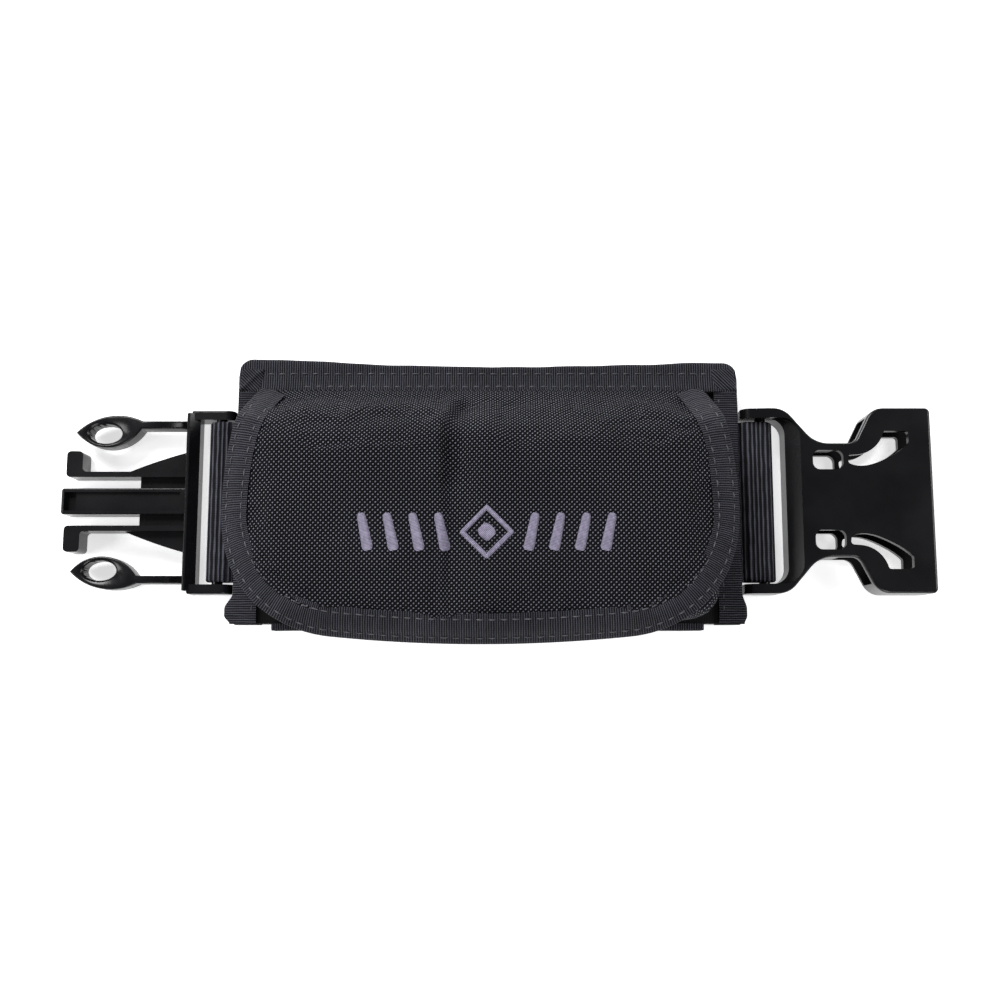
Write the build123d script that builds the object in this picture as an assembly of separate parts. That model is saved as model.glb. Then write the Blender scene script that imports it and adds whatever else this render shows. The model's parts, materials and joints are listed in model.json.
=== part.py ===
"""Dive weight belt section: flapped weight pocket on 50 mm webbing, with a side-release plug and socket.

Frame: X along the belt towards the socket, Y towards the flap's fold, Z out of the pocket's front.
The origin is the middle of the back panel's outer face, so the belt lies on its back on Z = 0.
Sizes are in millimetres.
"""

import os
from math import atan2, degrees, hypot, sqrt, tan

from build123d import *

# Webbing
WEB_WIDTH = 50.0
WEB_THICK = 1.8
WEB_TAIL_END = 34.0  # distance from the pocket's middle to each folded tail's cut end
WEB_PLY_GAP = 0.1
WEB_RISE = 2.6  # length over which each ply leaves the pocket's level for the loop's
WEB_BEND = 3.0
CHANNEL_PLAY = 0.5  # between the webbing's edge and the foam beside it

# Pocket
POCKET_WIDTH = 155.0
POCKET_TOP = 42.0
POCKET_BOTTOM = -38.0
POCKET_CORNER = 5.0
SHARPEST_CORNER = 0.5  # what is left of the pocket's corners on its innermost layers
TAPE_THICK = 0.6
TAPE_LEG = 7.0  # how far a binding tape reaches over each face
BACK_FABRIC = 0.8
FOAM_THICK = 1.8
REAR_FABRIC = 0.8
FRONT_FABRIC = 1.2
FRONT_FLANGE = 0.8
BAND_HEIGHT = 8.4  # the binding band across the top
SIDE_PLAY = 0.1  # between neighbouring soft pieces
POUCH_EDGE = 9.5  # rounding of the stuffed pouch's corners in plan
POUCH_ROUNDING = 9.0  # rounding of its front edges
BOTTOM_TAPE_PROUD = 2.0
BOTTOM_TAPE_WIDTH = 132.0
BOTTOM_TAPE_HEIGHT = 7.0
BOTTOM_TAPE_SOFT = 0.8

# Lead weights
WEIGHT_WIDTH = 66.0
WEIGHT_LENGTH = 53.0
WEIGHT_THICK = 18.0
WEIGHT_CORNER = 10.0
WEIGHT_EDGE = 7.5
WEIGHT_BACK_EDGE = 1.5
RECESS_MARGIN = 3.0  # from the rounded edge to the cast panel
RECESS_CORNER = 3.0
RECESS_DEPTH = 0.8
WEIGHT_GAP = 5.0  # between the two weights
WEIGHT_END_GAP = 0.4

# Flap
FLAP_OFFSET_X = -2.0
FLAP_SIDE_MARGIN = 1.3  # how far the flap's sides stay inside the pocket's
FLAP_TOP_MARGIN = 9.3
FLAP_WIDEST_Y = -6.0
FLAP_CORNER = 36.0
FLAP_OVERHANG = 6.0  # how far the flap reaches past the pocket's bottom
FLAP_FABRIC = 1.2
FLAP_LINING = 0.8
FLAP_BINDING_WIDTH = 8.4
BINDING_START = 1.0  # from the fold line to the binding's ends
STITCH_START = 3.0  # from the fold line to the binding stitches' ends
FLAP_SIDE_DROOP = 7.0  # how far the edge curls back towards the belt at the sides
FLAP_SIDE_DROOP_WIDTH = 9.5
FLAP_BOTTOM_DROOP = 8.0
FLAP_BOTTOM_DROOP_WIDTH = 7.5
FLAP_BEND = 9.0
FLAP_DEEP = 40.0  # how far below the belt the profiles that shape the flap run
FLAP_ROOT_RUN = 15.0  # from the fold line to the flap's shoulder
HINGE_GAP = 0.6  # from the fold line to the top band
HINGE_LIFT = 2.2  # fold line above the top band's front face
STRIP_THICK = 0.7
STRIP_WIDTH = 96.0
STRIP_HEIGHT = 24.0
STRIP_Y = -16.5
STRIP_GAP = 0.2

# Thread
THREAD = 0.7
THREAD_PROUD = 0.2
STITCH_INSET = 1.6
BOX_STITCH_LENGTH = 24.0
BOX_STITCH_MARGIN = 4.0
BOX_STITCH_DEPTH = 0.35
BOX_STITCH_SUNK = 0.05  # how far its face lies inside the back's

# Emblem
EMBLEM_Y = -12.5
EMBLEM_PROUD = 0.4
EMBLEM_BARS = 4
EMBLEM_BAR = (3.0, 11.0)
EMBLEM_BAR_CORNER = 0.8
EMBLEM_SPACE = 5.0  # from the diamond's tip to the nearest bar's middle
EMBLEM_PITCH = 7.4
EMBLEM_SLANT = 12.0
DIAMOND = 8.0
DIAMOND_LINE = 1.3

# Buckle bars and frames, the same on both halves
BAR_RADIUS = 1.7
BAR_PLAY = 0.08
FRAME_HALF_WIDTH = 28.8
RAIL_WIDTH = 3.0
RAIL_GAP = 1.6  # between a side rail's end and the pocket
RAIL_END_SOFT = 3.0

# Plug
PLUG_BAR_REACH = 6.3  # from the pocket's edge to the bar's axis
PLUG_SLOT_GAP = 2.9  # clear gap between the webbing's fold and the cross bar
PLUG_CROSS_BAR = 3.8
PLUG_CROSS_LIP = 1.0  # flat strip along the cross bar's outer face
PLUG_CROSS_DIP = 2.2  # how far the cross bar's sloping faces drop towards the webbing
PLUG_CROSS_INSET = 1.0  # from the rails' outer sides to the cross bar's ends
PLUG_HEIGHT = 9.2
PLUG_INNER_HEIGHT = 7.6  # the height of all that enters the socket
PLUG_LENGTH = 38.7
PLUG_RAIL_HEIGHT = 7.4
PLUG_RAIL_SETBACK = 1.4  # from the cross bar's outer face to the rails' ends
RAIL_SOFT = 0.6
TONGUE_HALF = 4.1
TONGUE_WALL = 1.2
TONGUE_PANEL_DEPTH = 1.0
TONGUE_PANEL_START = 1.5
TONGUE_POCKET = 2.4  # depth of the pocket in the tongue's tip
TONGUE_TIP = 4.6
TONGUE_TIP_SOFT = 1.2
TONGUE_SOFT = 0.35
GUIDE_INNER = 7.6
GUIDE_THICK = 1.7
GUIDE_LENGTH = 37.2
HOOK_WIDTH = 5.0
HOOK_REACH = 15.8
HOOK_SOFT = 1.3
WEB_PLATE = 2.4
WEB_PLATE_LENGTH = 14.6
GUSSET_LENGTH = 19.0
GUSSET_REACH = 16.0
GUSSET_BOW = 0.4
ARM_INNER = 23.1
ARM_THICK = 2.4
ARM_HEIGHT = 6.4
ARM_ROOT_GAP = 0.3
ARM_SOFT = 0.5
EYE_CENTRE = 25.4  # from the cross bar's face
EYE_HALF_LENGTH = 9.6
EYE_INNER = 17.1
EYE_OUTER = 27.2
EYE_NECK = 1.6  # how far before the eye its curves leave the blade
EYE_TIP_DROP = 0.3
EYE_HOLE = (5.1, 3.1)
EYE_HOLE_X = 25.8
EYE_HOLE_Y = 21.5
EYE_CHAMFER = 0.7

# Socket
SOCKET_BAR_REACH = 8.2
SOCKET_SLOT_GAP = 3.2
SOCKET_SLOT_CORNER = 5.0
SOCKET_CROSS_BAR = 4.2
SOCKET_HEIGHT = 12.4
SOCKET_FIT = 0.3  # clearance round the plug
SOCKET_DEPTH_PLAY = 1.9
SCOOP = (  # each corner's distance from the mouth, depth below the frame's side, and rounding
    (45.3, 0.0, 7.0),
    (35.8, 11.1, 9.0),
    (23.8, 11.1, 3.5),
    (18.2, 0.0, 6.0),
)
SCOOP_THROAT = 29.6  # from the mouth to where the arms' chambers begin
POST_CORNER = 1.6
SMALL_WINDOW = (9.4, 6.0)
SMALL_WINDOW_CORNER = 2.2
SMALL_WINDOW_Y = 12.4
SMALL_WINDOW_FROM_MOUTH = 32.2
WINDOW_INNER = (  # the big windows' long edges: distance from the mouth and from the middle
    (25.9, 11.4), (22.6, 10.5), (18.4, 11.1), (14.3, 12.8), (10.2, 15.1), (7.1, 17.6),
)
WINDOW_OUTER = ((14.8, 21.4), (16.0, 18.4), (18.4, 15.8), (20.9, 14.5), (23.6, 14.0), (26.2, 13.9))
WINDOW_SOFT = 1.0
EDGE_SOFT = 0.9
SOCKET_CROSS_DIP = 2.8  # how far the cross bar's sloping faces drop towards the webbing
SOCKET_DIP_RUN = 9.0  # how far the sloping faces' level part runs over the slot
DECK_CORNER = 6.0  # rounding in plan where the deck meets the sloping faces
RAIL_TAPER = 1.8

# Modelling aids
NEAR = 0.01  # tolerance when picking faces and edges by place
SINK = 0.5  # how far one shape runs into the next that it is joined to
PAST = 1.0  # how far a cutting shape runs past the face it cuts

# Heights of the layers, from the back face up
Z_PANEL_TOP = TAPE_THICK + BACK_FABRIC
Z_FOAM_TOP = Z_PANEL_TOP + FOAM_THICK
Z_BACK_TAPE_TOP = Z_FOAM_TOP + TAPE_THICK
Z_TAIL = Z_BACK_TAPE_TOP + SIDE_PLAY + WEB_THICK / 2
Z_MAIN = Z_TAIL + WEB_THICK + WEB_PLY_GAP
Z_POUCH_LOW = Z_MAIN + WEB_THICK / 2 + SIDE_PLAY
Z_REAR_LOW = Z_POUCH_LOW + TAPE_THICK
Z_REAR_TOP = Z_REAR_LOW + REAR_FABRIC
Z_FLANGE_TOP = Z_REAR_TOP + FRONT_FLANGE
Z_POUCH_TAPE_TOP = Z_FLANGE_TOP + TAPE_THICK
Z_WEIGHT_LOW = Z_REAR_TOP + 0.2
Z_FRONT_INNER = Z_WEIGHT_LOW + WEIGHT_THICK + 0.3
Z_FRONT_TOP = Z_FRONT_INNER + FRONT_FABRIC
Z_LOOP_TOP = Z_FRONT_TOP + STRIP_THICK
Z_HOOK_LOW = Z_LOOP_TOP + STRIP_GAP
Z_LINING_LOW = Z_HOOK_LOW + STRIP_THICK
Z_FLAP_TOP = Z_LINING_LOW + FLAP_LINING + FLAP_FABRIC

# Places that several pieces share
HALF = POCKET_WIDTH / 2
MID_Y = (POCKET_TOP + POCKET_BOTTOM) / 2
HEIGHT = POCKET_TOP - POCKET_BOTTOM
POUCH_HALF = HALF - TAPE_LEG - SIDE_PLAY
MIDDLE_HALF = POUCH_HALF  # what the side tapes leave of the back
MOUTH_Y = POCKET_BOTTOM + FRONT_FABRIC + WEIGHT_LENGTH + WEIGHT_END_GAP + 0.4
BAND_LOW_Y = POCKET_TOP - BAND_HEIGHT + TAPE_THICK
BAR_Z = (Z_TAIL + Z_MAIN) / 2
LOOP_RADIUS = BAR_RADIUS + BAR_PLAY + WEB_THICK / 2
LOOP_REACH = LOOP_RADIUS + WEB_THICK / 2
PLUG_BAR_X = HALF + PLUG_BAR_REACH
PLUG_SLOT_X = PLUG_BAR_X + LOOP_REACH + PLUG_SLOT_GAP
PLUG_FACE_X = PLUG_SLOT_X + PLUG_CROSS_BAR  # outer face of the plug's cross bar
PLUG_RAIL_END = HALF + RAIL_GAP
PLUG_MID = PLUG_HEIGHT / 2
SOCKET_BAR_X = HALF + SOCKET_BAR_REACH
SOCKET_SLOT_X = SOCKET_BAR_X + LOOP_REACH + SOCKET_SLOT_GAP
SOCKET_FACE_X = SOCKET_SLOT_X + SOCKET_CROSS_BAR
SOCKET_RAIL_END = HALF + RAIL_GAP
SOCKET_MID = SOCKET_HEIGHT / 2
MOUTH_X = SOCKET_FACE_X + PLUG_LENGTH + SOCKET_DEPTH_PLAY
THROAT_X = MOUTH_X - SCOOP_THROAT
HINGE_Y = BAND_LOW_Y - HINGE_GAP
HINGE_Z = Z_POUCH_TAPE_TOP + HINGE_LIFT
FLAP_HALF_WIDTH = HALF - FLAP_SIDE_MARGIN
FLAP_TOP_HALF_WIDTH = HALF - FLAP_TOP_MARGIN
FLAP_BOTTOM_Y = POCKET_BOTTOM - FLAP_OVERHANG


def slab(shape, low, high):
    """A flat outline raised from one height to another."""
    return extrude(Pos(0, 0, low) * shape, amount=high - low, dir=(0, 0, 1))


def block(x, y, z):
    """A box between three pairs of limits."""
    centre = ((x[0] + x[1]) / 2, (y[0] + y[1]) / 2, (z[0] + z[1]) / 2)
    return Pos(*centre) * Box(x[1] - x[0], y[1] - y[0], z[1] - z[0])


def polygon(points):
    return make_face(Polyline(*points, close=True))


def soften(solid, radius, keep):
    """Rounds the edges that keep() picks."""
    edges = [edge for edge in solid.edges() if keep(edge)]
    return fillet(edges, radius) if edges else solid


def mirrored_y(solid):
    return solid.mirror(Plane.XZ)


# ---------------------------------------------------------------- pocket


def panel_outline(grow=0.0):
    """The pocket's outline, which every flat layer and its binding share."""
    corner = max(POCKET_CORNER + grow, SHARPEST_CORNER)
    shape = RectangleRounded(POCKET_WIDTH + 2 * grow, HEIGHT + 2 * grow, corner)
    return Pos(0, MID_Y) * shape


def tape(low, high, region):
    """A binding tape folded over the panel's edge: a web and two legs, cut to a region."""
    folded = slab(panel_outline(TAPE_THICK), low, high)
    folded -= slab(panel_outline(), low + TAPE_THICK, high - TAPE_THICK)
    return (folded & region) - slab(panel_outline(-TAPE_LEG), low - PAST, high + PAST)


def side_region(side, low, high):
    x = sorted((side * (HALF - TAPE_LEG), side * (HALF + TAPE_THICK + PAST)))
    return block(x, (POCKET_BOTTOM, BAND_LOW_Y - SIDE_PLAY), (low, high))


def back_panel():
    """Outer fabric of the back: its middle stands flush with the tapes, with grooves for the box stitches."""
    middle = panel_outline(-TAPE_LEG - SIDE_PLAY)
    lower = block((-MIDDLE_HALF, MIDDLE_HALF), (POCKET_BOTTOM, 0), (0, Z_PANEL_TOP))
    panel = slab(panel_outline(), TAPE_THICK, Z_PANEL_TOP) + slab(middle, 0, Z_PANEL_TOP)
    panel += lower & slab(panel_outline(), 0, Z_PANEL_TOP)
    for side in (-1, 1):
        panel -= slab(box_stitch(side, SIDE_PLAY), -PAST, BOX_STITCH_DEPTH + SIDE_PLAY)
    return panel


def box_stitch(side, grow=0.0):
    """A crossed box of thread lines over one webbing tail, as a flat outline."""
    width = THREAD + 2 * grow
    outer_x = HALF - TAPE_LEG - BOX_STITCH_MARGIN
    centre = side * (outer_x - BOX_STITCH_LENGTH / 2)
    tall = WEB_WIDTH - 2 * BOX_STITCH_MARGIN
    frame = Rectangle(BOX_STITCH_LENGTH + width, tall + width)
    frame -= Rectangle(BOX_STITCH_LENGTH - width, tall - width)
    angle = degrees(atan2(tall, BOX_STITCH_LENGTH))
    for turn in (angle, -angle):
        frame += Rot(0, 0, turn) * Rectangle(hypot(BOX_STITCH_LENGTH, tall), width)
    return Pos(centre, 0) * frame


def box_stitching():
    """The thread that holds each folded tail, lying in the back panel's grooves."""
    return Compound(children=[slab(box_stitch(side), BOX_STITCH_SUNK, BOX_STITCH_DEPTH) for side in (-1, 1)])


def back_foam():
    """Foam stiffener with a channel that the webbing lies in."""
    foam = slab(panel_outline(-SIDE_PLAY / 2), Z_PANEL_TOP, Z_FOAM_TOP)
    channel = WEB_WIDTH / 2 + CHANNEL_PLAY
    for low, high in ((POCKET_BOTTOM, -channel), (channel, POCKET_TOP)):
        strip = block((-MIDDLE_HALF, MIDDLE_HALF), (low, high), (Z_FOAM_TOP, Z_REAR_LOW))
        foam += strip & slab(panel_outline(-SIDE_PLAY / 2), 0, Z_REAR_LOW)
    return foam


def pouch_rear():
    """Rear fabric of the pouch, in front of the webbing."""
    return slab(panel_outline(), Z_REAR_LOW, Z_REAR_TOP)


def pouch_outline(inset):
    width = 2 * (POUCH_HALF - inset)
    low = POCKET_BOTTOM + SIDE_PLAY + inset
    tall = MOUTH_Y + POUCH_EDGE - low + inset
    return Pos(0, low + tall / 2) * RectangleRounded(width, tall, POUCH_EDGE)


def stuffed(inset, top, edge):
    """The pouch as a full block with rounded front edges, running past its mouth."""
    body = slab(pouch_outline(inset), Z_REAR_TOP, top)
    return soften(body, edge, lambda e: e.center().Z > top - NEAR)


def pouch_front():
    """Front panel with its gussets: a tray open at the back and at the mouth, with side flanges."""
    tray = stuffed(0, Z_FRONT_TOP, POUCH_ROUNDING)
    tray -= stuffed(FRONT_FABRIC, Z_FRONT_INNER, POUCH_ROUNDING - FRONT_FABRIC)
    tray &= block((-HALF, HALF), (POCKET_BOTTOM, MOUTH_Y), (Z_REAR_TOP, Z_FRONT_TOP))
    for side in (-1, 1):
        x = sorted((side * (POUCH_HALF - FRONT_FABRIC), side * (HALF - SIDE_PLAY / 2)))
        y = (POCKET_BOTTOM + POCKET_CORNER, BAND_LOW_Y - SIDE_PLAY)
        tray += block(x, y, (Z_REAR_TOP, Z_FLANGE_TOP))
    return tray


def side_binding(side):
    """Tape over the edges of the pouch's rear fabric and front flange."""
    region = side_region(side, Z_POUCH_LOW, Z_POUCH_TAPE_TOP)
    return tape(Z_POUCH_LOW, Z_POUCH_TAPE_TOP, region)


def back_binding(side):
    """Tape over the edges of the back panel and its foam."""
    return tape(0, Z_BACK_TAPE_TOP, side_region(side, 0, Z_BACK_TAPE_TOP))


def top_binding():
    """The band across the top, which wraps the back and the pouch together."""
    reach = HALF + TAPE_THICK + PAST
    region = block((-reach, reach), (BAND_LOW_Y, POCKET_TOP + TAPE_THICK + PAST), (0, Z_POUCH_TAPE_TOP))
    band = slab(panel_outline(TAPE_THICK), 0, Z_POUCH_TAPE_TOP)
    band -= slab(panel_outline(), TAPE_THICK, Z_FLANGE_TOP)
    return band & region


def back_notch():
    """What the band leaves of the back panel's middle, flush with the band's rear leg."""
    return block((-HALF, HALF), (BAND_LOW_Y - SIDE_PLAY, POCKET_TOP), (-PAST, TAPE_THICK))


def flap_hem():
    """The flap's top edge, sewn flat inside the band."""
    region = block((-POUCH_HALF, POUCH_HALF), (BAND_LOW_Y, POCKET_TOP), (Z_REAR_TOP, Z_FLANGE_TOP))
    return region & slab(panel_outline(-SIDE_PLAY), 0, Z_FLANGE_TOP)


def bottom_binding():
    """Folded tape along the bottom seam, cut square at each end."""
    low = POCKET_BOTTOM - BOTTOM_TAPE_PROUD
    middle = (Z_PANEL_TOP + Z_POUCH_TAPE_TOP) / 2
    z = (middle - BOTTOM_TAPE_HEIGHT / 2, middle + BOTTOM_TAPE_HEIGHT / 2)
    fold = block((-BOTTOM_TAPE_WIDTH / 2, BOTTOM_TAPE_WIDTH / 2), (low, POCKET_BOTTOM), z)
    long_edge = lambda e: e.center().Y < low + NEAR and e.length > BOTTOM_TAPE_WIDTH / 2
    return soften(fold, BOTTOM_TAPE_SOFT, long_edge)


def loop_strip():
    x = (-STRIP_WIDTH / 2, STRIP_WIDTH / 2)
    y = (STRIP_Y - STRIP_HEIGHT / 2, STRIP_Y + STRIP_HEIGHT / 2)
    return block(x, y, (Z_FRONT_TOP, Z_LOOP_TOP))


def tape_stitching():
    """Thread rows on the band and on both side tapes."""
    rows = []
    x = (-HALF + POCKET_CORNER, HALF - POCKET_CORNER)
    z = (Z_POUCH_TAPE_TOP, Z_POUCH_TAPE_TOP + THREAD_PROUD)
    for y in (BAND_LOW_Y + STITCH_INSET, POCKET_TOP - STITCH_INSET):
        rows.append(block(x, (y - THREAD / 2, y + THREAD / 2), z))
    for side in (-1, 1):
        row_x = side * (HALF - TAPE_LEG + STITCH_INSET)
        y = (POCKET_BOTTOM + POCKET_CORNER, BAND_LOW_Y - PAST)
        rows.append(block((row_x - THREAD / 2, row_x + THREAD / 2), y, z))
    return Compound(children=rows)


# ---------------------------------------------------------------- webbing


def belt_webbing():
    """One length of webbing: a straight run behind the pouch, and a loop round each buckle bar."""
    top, bottom = BAR_Z + LOOP_RADIUS, BAR_Z - LOOP_RADIUS
    near = HALF + PAST
    far = near + WEB_RISE
    left, right = -PLUG_BAR_X, SOCKET_BAR_X
    left_tail = ((-WEB_TAIL_END, Z_TAIL), (-near, Z_TAIL), (-far, bottom), (left, bottom))
    main_run = ((left, top), (-far, top), (-near, Z_MAIN), (near, Z_MAIN), (far, top), (right, top))
    right_tail = ((right, bottom), (far, bottom), (near, Z_TAIL), (WEB_TAIL_END, Z_TAIL))
    path = FilletPolyline(*left_tail, radius=WEB_BEND)
    path += CenterArc((left, BAR_Z), LOOP_RADIUS, -90, -180)
    path += FilletPolyline(*main_run, radius=WEB_BEND)
    path += CenterArc((right, BAR_Z), LOOP_RADIUS, 90, -180)
    path += FilletPolyline(*right_tail, radius=WEB_BEND)
    centre = Plane.XZ * Wire(path.edges())
    section = Plane(centre @ 0, x_dir=(0, 1, 0), z_dir=centre % 0) * Rectangle(WEB_WIDTH, WEB_THICK)
    return sweep(section, path=centre)


# ---------------------------------------------------------------- weights


def lead_weight(side):
    """A cast lead block with rounded corners and a shallow cast panel in its face."""
    low = POCKET_BOTTOM + SIDE_PLAY + FRONT_FABRIC + WEIGHT_END_GAP
    centre_x = side * (WEIGHT_GAP + WEIGHT_WIDTH) / 2
    plan = Pos(centre_x, low + WEIGHT_LENGTH / 2) * RectangleRounded(
        WEIGHT_WIDTH, WEIGHT_LENGTH, WEIGHT_CORNER
    )
    top = Z_WEIGHT_LOW + WEIGHT_THICK
    cast = slab(plan, Z_WEIGHT_LOW, top)
    cast = soften(cast, WEIGHT_EDGE, lambda e: e.center().Z > top - NEAR)
    cast = soften(cast, WEIGHT_BACK_EDGE, lambda e: e.center().Z < Z_WEIGHT_LOW + NEAR)
    margin = WEIGHT_EDGE + RECESS_MARGIN
    recess = Pos(centre_x, low + WEIGHT_LENGTH / 2) * RectangleRounded(
        WEIGHT_WIDTH - 2 * margin, WEIGHT_LENGTH - 2 * margin, RECESS_CORNER
    )
    return cast - slab(recess, top - RECESS_DEPTH, top + PAST)


# ---------------------------------------------------------------- flap


def flap_outline(inset=0.0):
    """The flap's outline: a straight top, long side arcs, round corners and a slightly bowed bottom."""
    corner_x = FLAP_HALF_WIDTH - FLAP_CORNER
    drop = FLAP_WIDEST_Y - FLAP_CORNER - FLAP_BOTTOM_Y
    bottom_r = FLAP_CORNER + (corner_x**2 + drop**2) / (2 * drop)
    bottom_y = FLAP_BOTTOM_Y + bottom_r
    rise = HINGE_Y - FLAP_WIDEST_Y
    narrow = FLAP_HALF_WIDTH - FLAP_TOP_HALF_WIDTH
    side_r = (rise**2 + narrow**2) / (2 * narrow)
    turn = degrees(atan2(bottom_y - FLAP_WIDEST_Y, corner_x))
    top_angle = degrees(atan2(rise, sqrt((side_r - inset) ** 2 - rise**2)))
    edges = []
    for flip in (1, -1):
        side = CenterArc((FLAP_HALF_WIDTH - side_r, FLAP_WIDEST_Y), side_r - inset, 0, top_angle)
        corner = CenterArc((corner_x, FLAP_WIDEST_Y), FLAP_CORNER - inset, 0, -turn)
        edges += [e if flip > 0 else e.mirror(Plane.YZ) for e in (side.edge(), corner.edge())]
    edges.append(CenterArc((0, bottom_y), bottom_r - inset, -turn, 2 * turn - 180).edge())
    top_x = FLAP_HALF_WIDTH - side_r + sqrt((side_r - inset) ** 2 - rise**2)
    edges.append(Line((-top_x, HINGE_Y), (top_x, HINGE_Y)).edge())
    return Pos(FLAP_OFFSET_X, 0) * make_face(Wire(edges))


def ridge(profile, plane):
    """A profile drawn in a plane through the origin, run far out to both sides."""
    reach = 2 * HALF
    return extrude(plane.offset(-reach) * profile, amount=2 * reach, dir=plane.z_dir)


def crown(out):
    """All that lies below a surface parallel to the flap's outer face, out from it (or in, when negative)."""
    # Both profiles are drawn on the middle of the flap's thickness, which passes through the fold line.
    half = (FLAP_FABRIC + FLAP_LINING) / 2
    top = Z_FLAP_TOP - half
    deep = -FLAP_DEEP
    slope = atan2(top - HINGE_Z, FLAP_ROOT_RUN)
    shoulder_y = HINGE_Y - FLAP_ROOT_RUN
    foot_y = shoulder_y + (top - deep) / tan(slope)
    droop_y = FLAP_BOTTOM_Y + FLAP_BOTTOM_DROOP_WIDTH
    lead_y = FLAP_BOTTOM_DROOP_WIDTH / FLAP_BOTTOM_DROOP * (top - deep)
    along_y = polygon([(foot_y, deep), (shoulder_y, top), (droop_y, top), (droop_y - lead_y, deep)])
    along_y = fillet(along_y.vertices().filter_by(lambda v: v.Y > 0), FLAP_BEND)

    edge_x = FLAP_HALF_WIDTH - FLAP_SIDE_DROOP_WIDTH
    lead_x = FLAP_SIDE_DROOP_WIDTH / FLAP_SIDE_DROOP * (top - deep)
    along_x = polygon([(-edge_x - lead_x, deep), (-edge_x, top), (edge_x, top), (edge_x + lead_x, deep)])
    along_x = fillet(along_x.vertices().filter_by(lambda v: v.Y > 0), FLAP_BEND)

    along_y = offset(along_y, out + half, kind=Kind.INTERSECTION)
    along_x = offset(along_x, out + half, kind=Kind.INTERSECTION)
    return ridge(along_y, Plane.YZ) & (Pos(FLAP_OFFSET_X, 0) * ridge(along_x, Plane.XZ))


def flap_shell(outer, inner, plan):
    """The layer between two surfaces parallel to the flap's outer face, cut to a plan outline."""
    column = slab(plan, 0, 2 * Z_FLAP_TOP)
    return (crown(outer) & column) - crown(inner)


def flap_panel():
    return flap_shell(0, -FLAP_FABRIC, flap_outline())


def flap_lining():
    total = FLAP_FABRIC + FLAP_LINING
    return flap_shell(-FLAP_FABRIC, -total, flap_outline())


def flap_binding():
    """Tape folded over the flap's free edge."""
    total = FLAP_FABRIC + FLAP_LINING
    ring = flap_outline(-TAPE_THICK) - flap_outline(FLAP_BINDING_WIDTH)
    below_band = block((-2 * HALF, 2 * HALF), (-2 * HALF, HINGE_Y - BINDING_START), (0, 2 * HALF))
    folded = flap_shell(TAPE_THICK, -total - TAPE_THICK, ring) & below_band
    return folded - flap_shell(0, -total, flap_outline())


def flap_stitching():
    """Two thread rows on the flap's binding."""
    rows = []
    for inset in (FLAP_BINDING_WIDTH - STITCH_INSET, STITCH_INSET):
        line = flap_outline(inset - THREAD / 2) - flap_outline(inset + THREAD / 2)
        row = flap_shell(TAPE_THICK + THREAD_PROUD, TAPE_THICK, line)
        below_band = block((-2 * HALF, 2 * HALF), (-2 * HALF, HINGE_Y - STITCH_START), (0, 2 * HALF))
        rows += (row & below_band).solids()
    return Compound(children=rows)


def hook_strip():
    x = (-STRIP_WIDTH / 2, STRIP_WIDTH / 2)
    y = (STRIP_Y - STRIP_HEIGHT / 2, STRIP_Y + STRIP_HEIGHT / 2)
    return block(x, y, (Z_HOOK_LOW, Z_LINING_LOW))


def flap_emblem():
    """A generic embroidered device: a diamond between two rows of slanted bars."""
    outer = Rot(0, 0, 45) * Rectangle(2 * DIAMOND / sqrt(2), 2 * DIAMOND / sqrt(2))
    hole = DIAMOND - DIAMOND_LINE * sqrt(2)
    ring = outer - Rot(0, 0, 45) * Rectangle(2 * hole / sqrt(2), 2 * hole / sqrt(2))
    heart = Rot(0, 0, 45) * Rectangle(hole / sqrt(2), hole / sqrt(2))
    shapes = [ring, heart]
    for side in (-1, 1):
        for number in range(EMBLEM_BARS):
            x = side * (DIAMOND + EMBLEM_SPACE + number * EMBLEM_PITCH)
            bar = Rot(0, 0, -side * EMBLEM_SLANT) * RectangleRounded(*EMBLEM_BAR, EMBLEM_BAR_CORNER)
            shapes.append(Pos(x, 0) * bar)
    raised = [slab(Pos(0, EMBLEM_Y) * s, Z_FLAP_TOP, Z_FLAP_TOP + EMBLEM_PROUD) for s in shapes]
    return Compound(children=raised)


# ---------------------------------------------------------------- buckle


def end_bar(x):
    """The round bar that the webbing folds over."""
    reach = FRAME_HALF_WIDTH - RAIL_WIDTH / 2
    return Pos(x, 0, BAR_Z) * Rot(90, 0, 0) * Cylinder(BAR_RADIUS, 2 * reach)


def sloped(solid, slope, reach):
    """Cuts one slope from a part's top and bottom, drawn as (x, depth below the face), highest x last."""
    height = solid.bounding_box().max.Z
    for face, up in ((height, 1), (0, -1)):
        past = face + up * PAST
        line = [(x, face - up * depth) for x, depth in slope]
        wedge = polygon([(slope[0][0], past), *line, (slope[-1][0], past)])
        solid -= extrude(Plane.XZ * wedge, amount=HALF, both=True) & slab(reach, -PAST, height + PAST)
    return solid


def plug_cross_bar():
    """The bar across the plug, whose faces slope down towards the webbing."""
    end = FRAME_HALF_WIDTH - PLUG_CROSS_INSET
    bar = block((PLUG_SLOT_X, PLUG_FACE_X), (-end, end), (0, PLUG_HEIGHT))
    slope = [
        (PLUG_SLOT_X - PAST, PLUG_CROSS_DIP),
        (PLUG_SLOT_X, PLUG_CROSS_DIP),
        (PLUG_FACE_X - PLUG_CROSS_LIP, 0),
    ]
    bar = sloped(bar, slope, Pos(PLUG_FACE_X, 0) * Rectangle(2 * PLUG_CROSS_BAR + 2 * PAST, 2 * HALF))
    return soften(bar, ARM_SOFT, lambda e: abs(e.center().X - PLUG_FACE_X) < NEAR)


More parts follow.
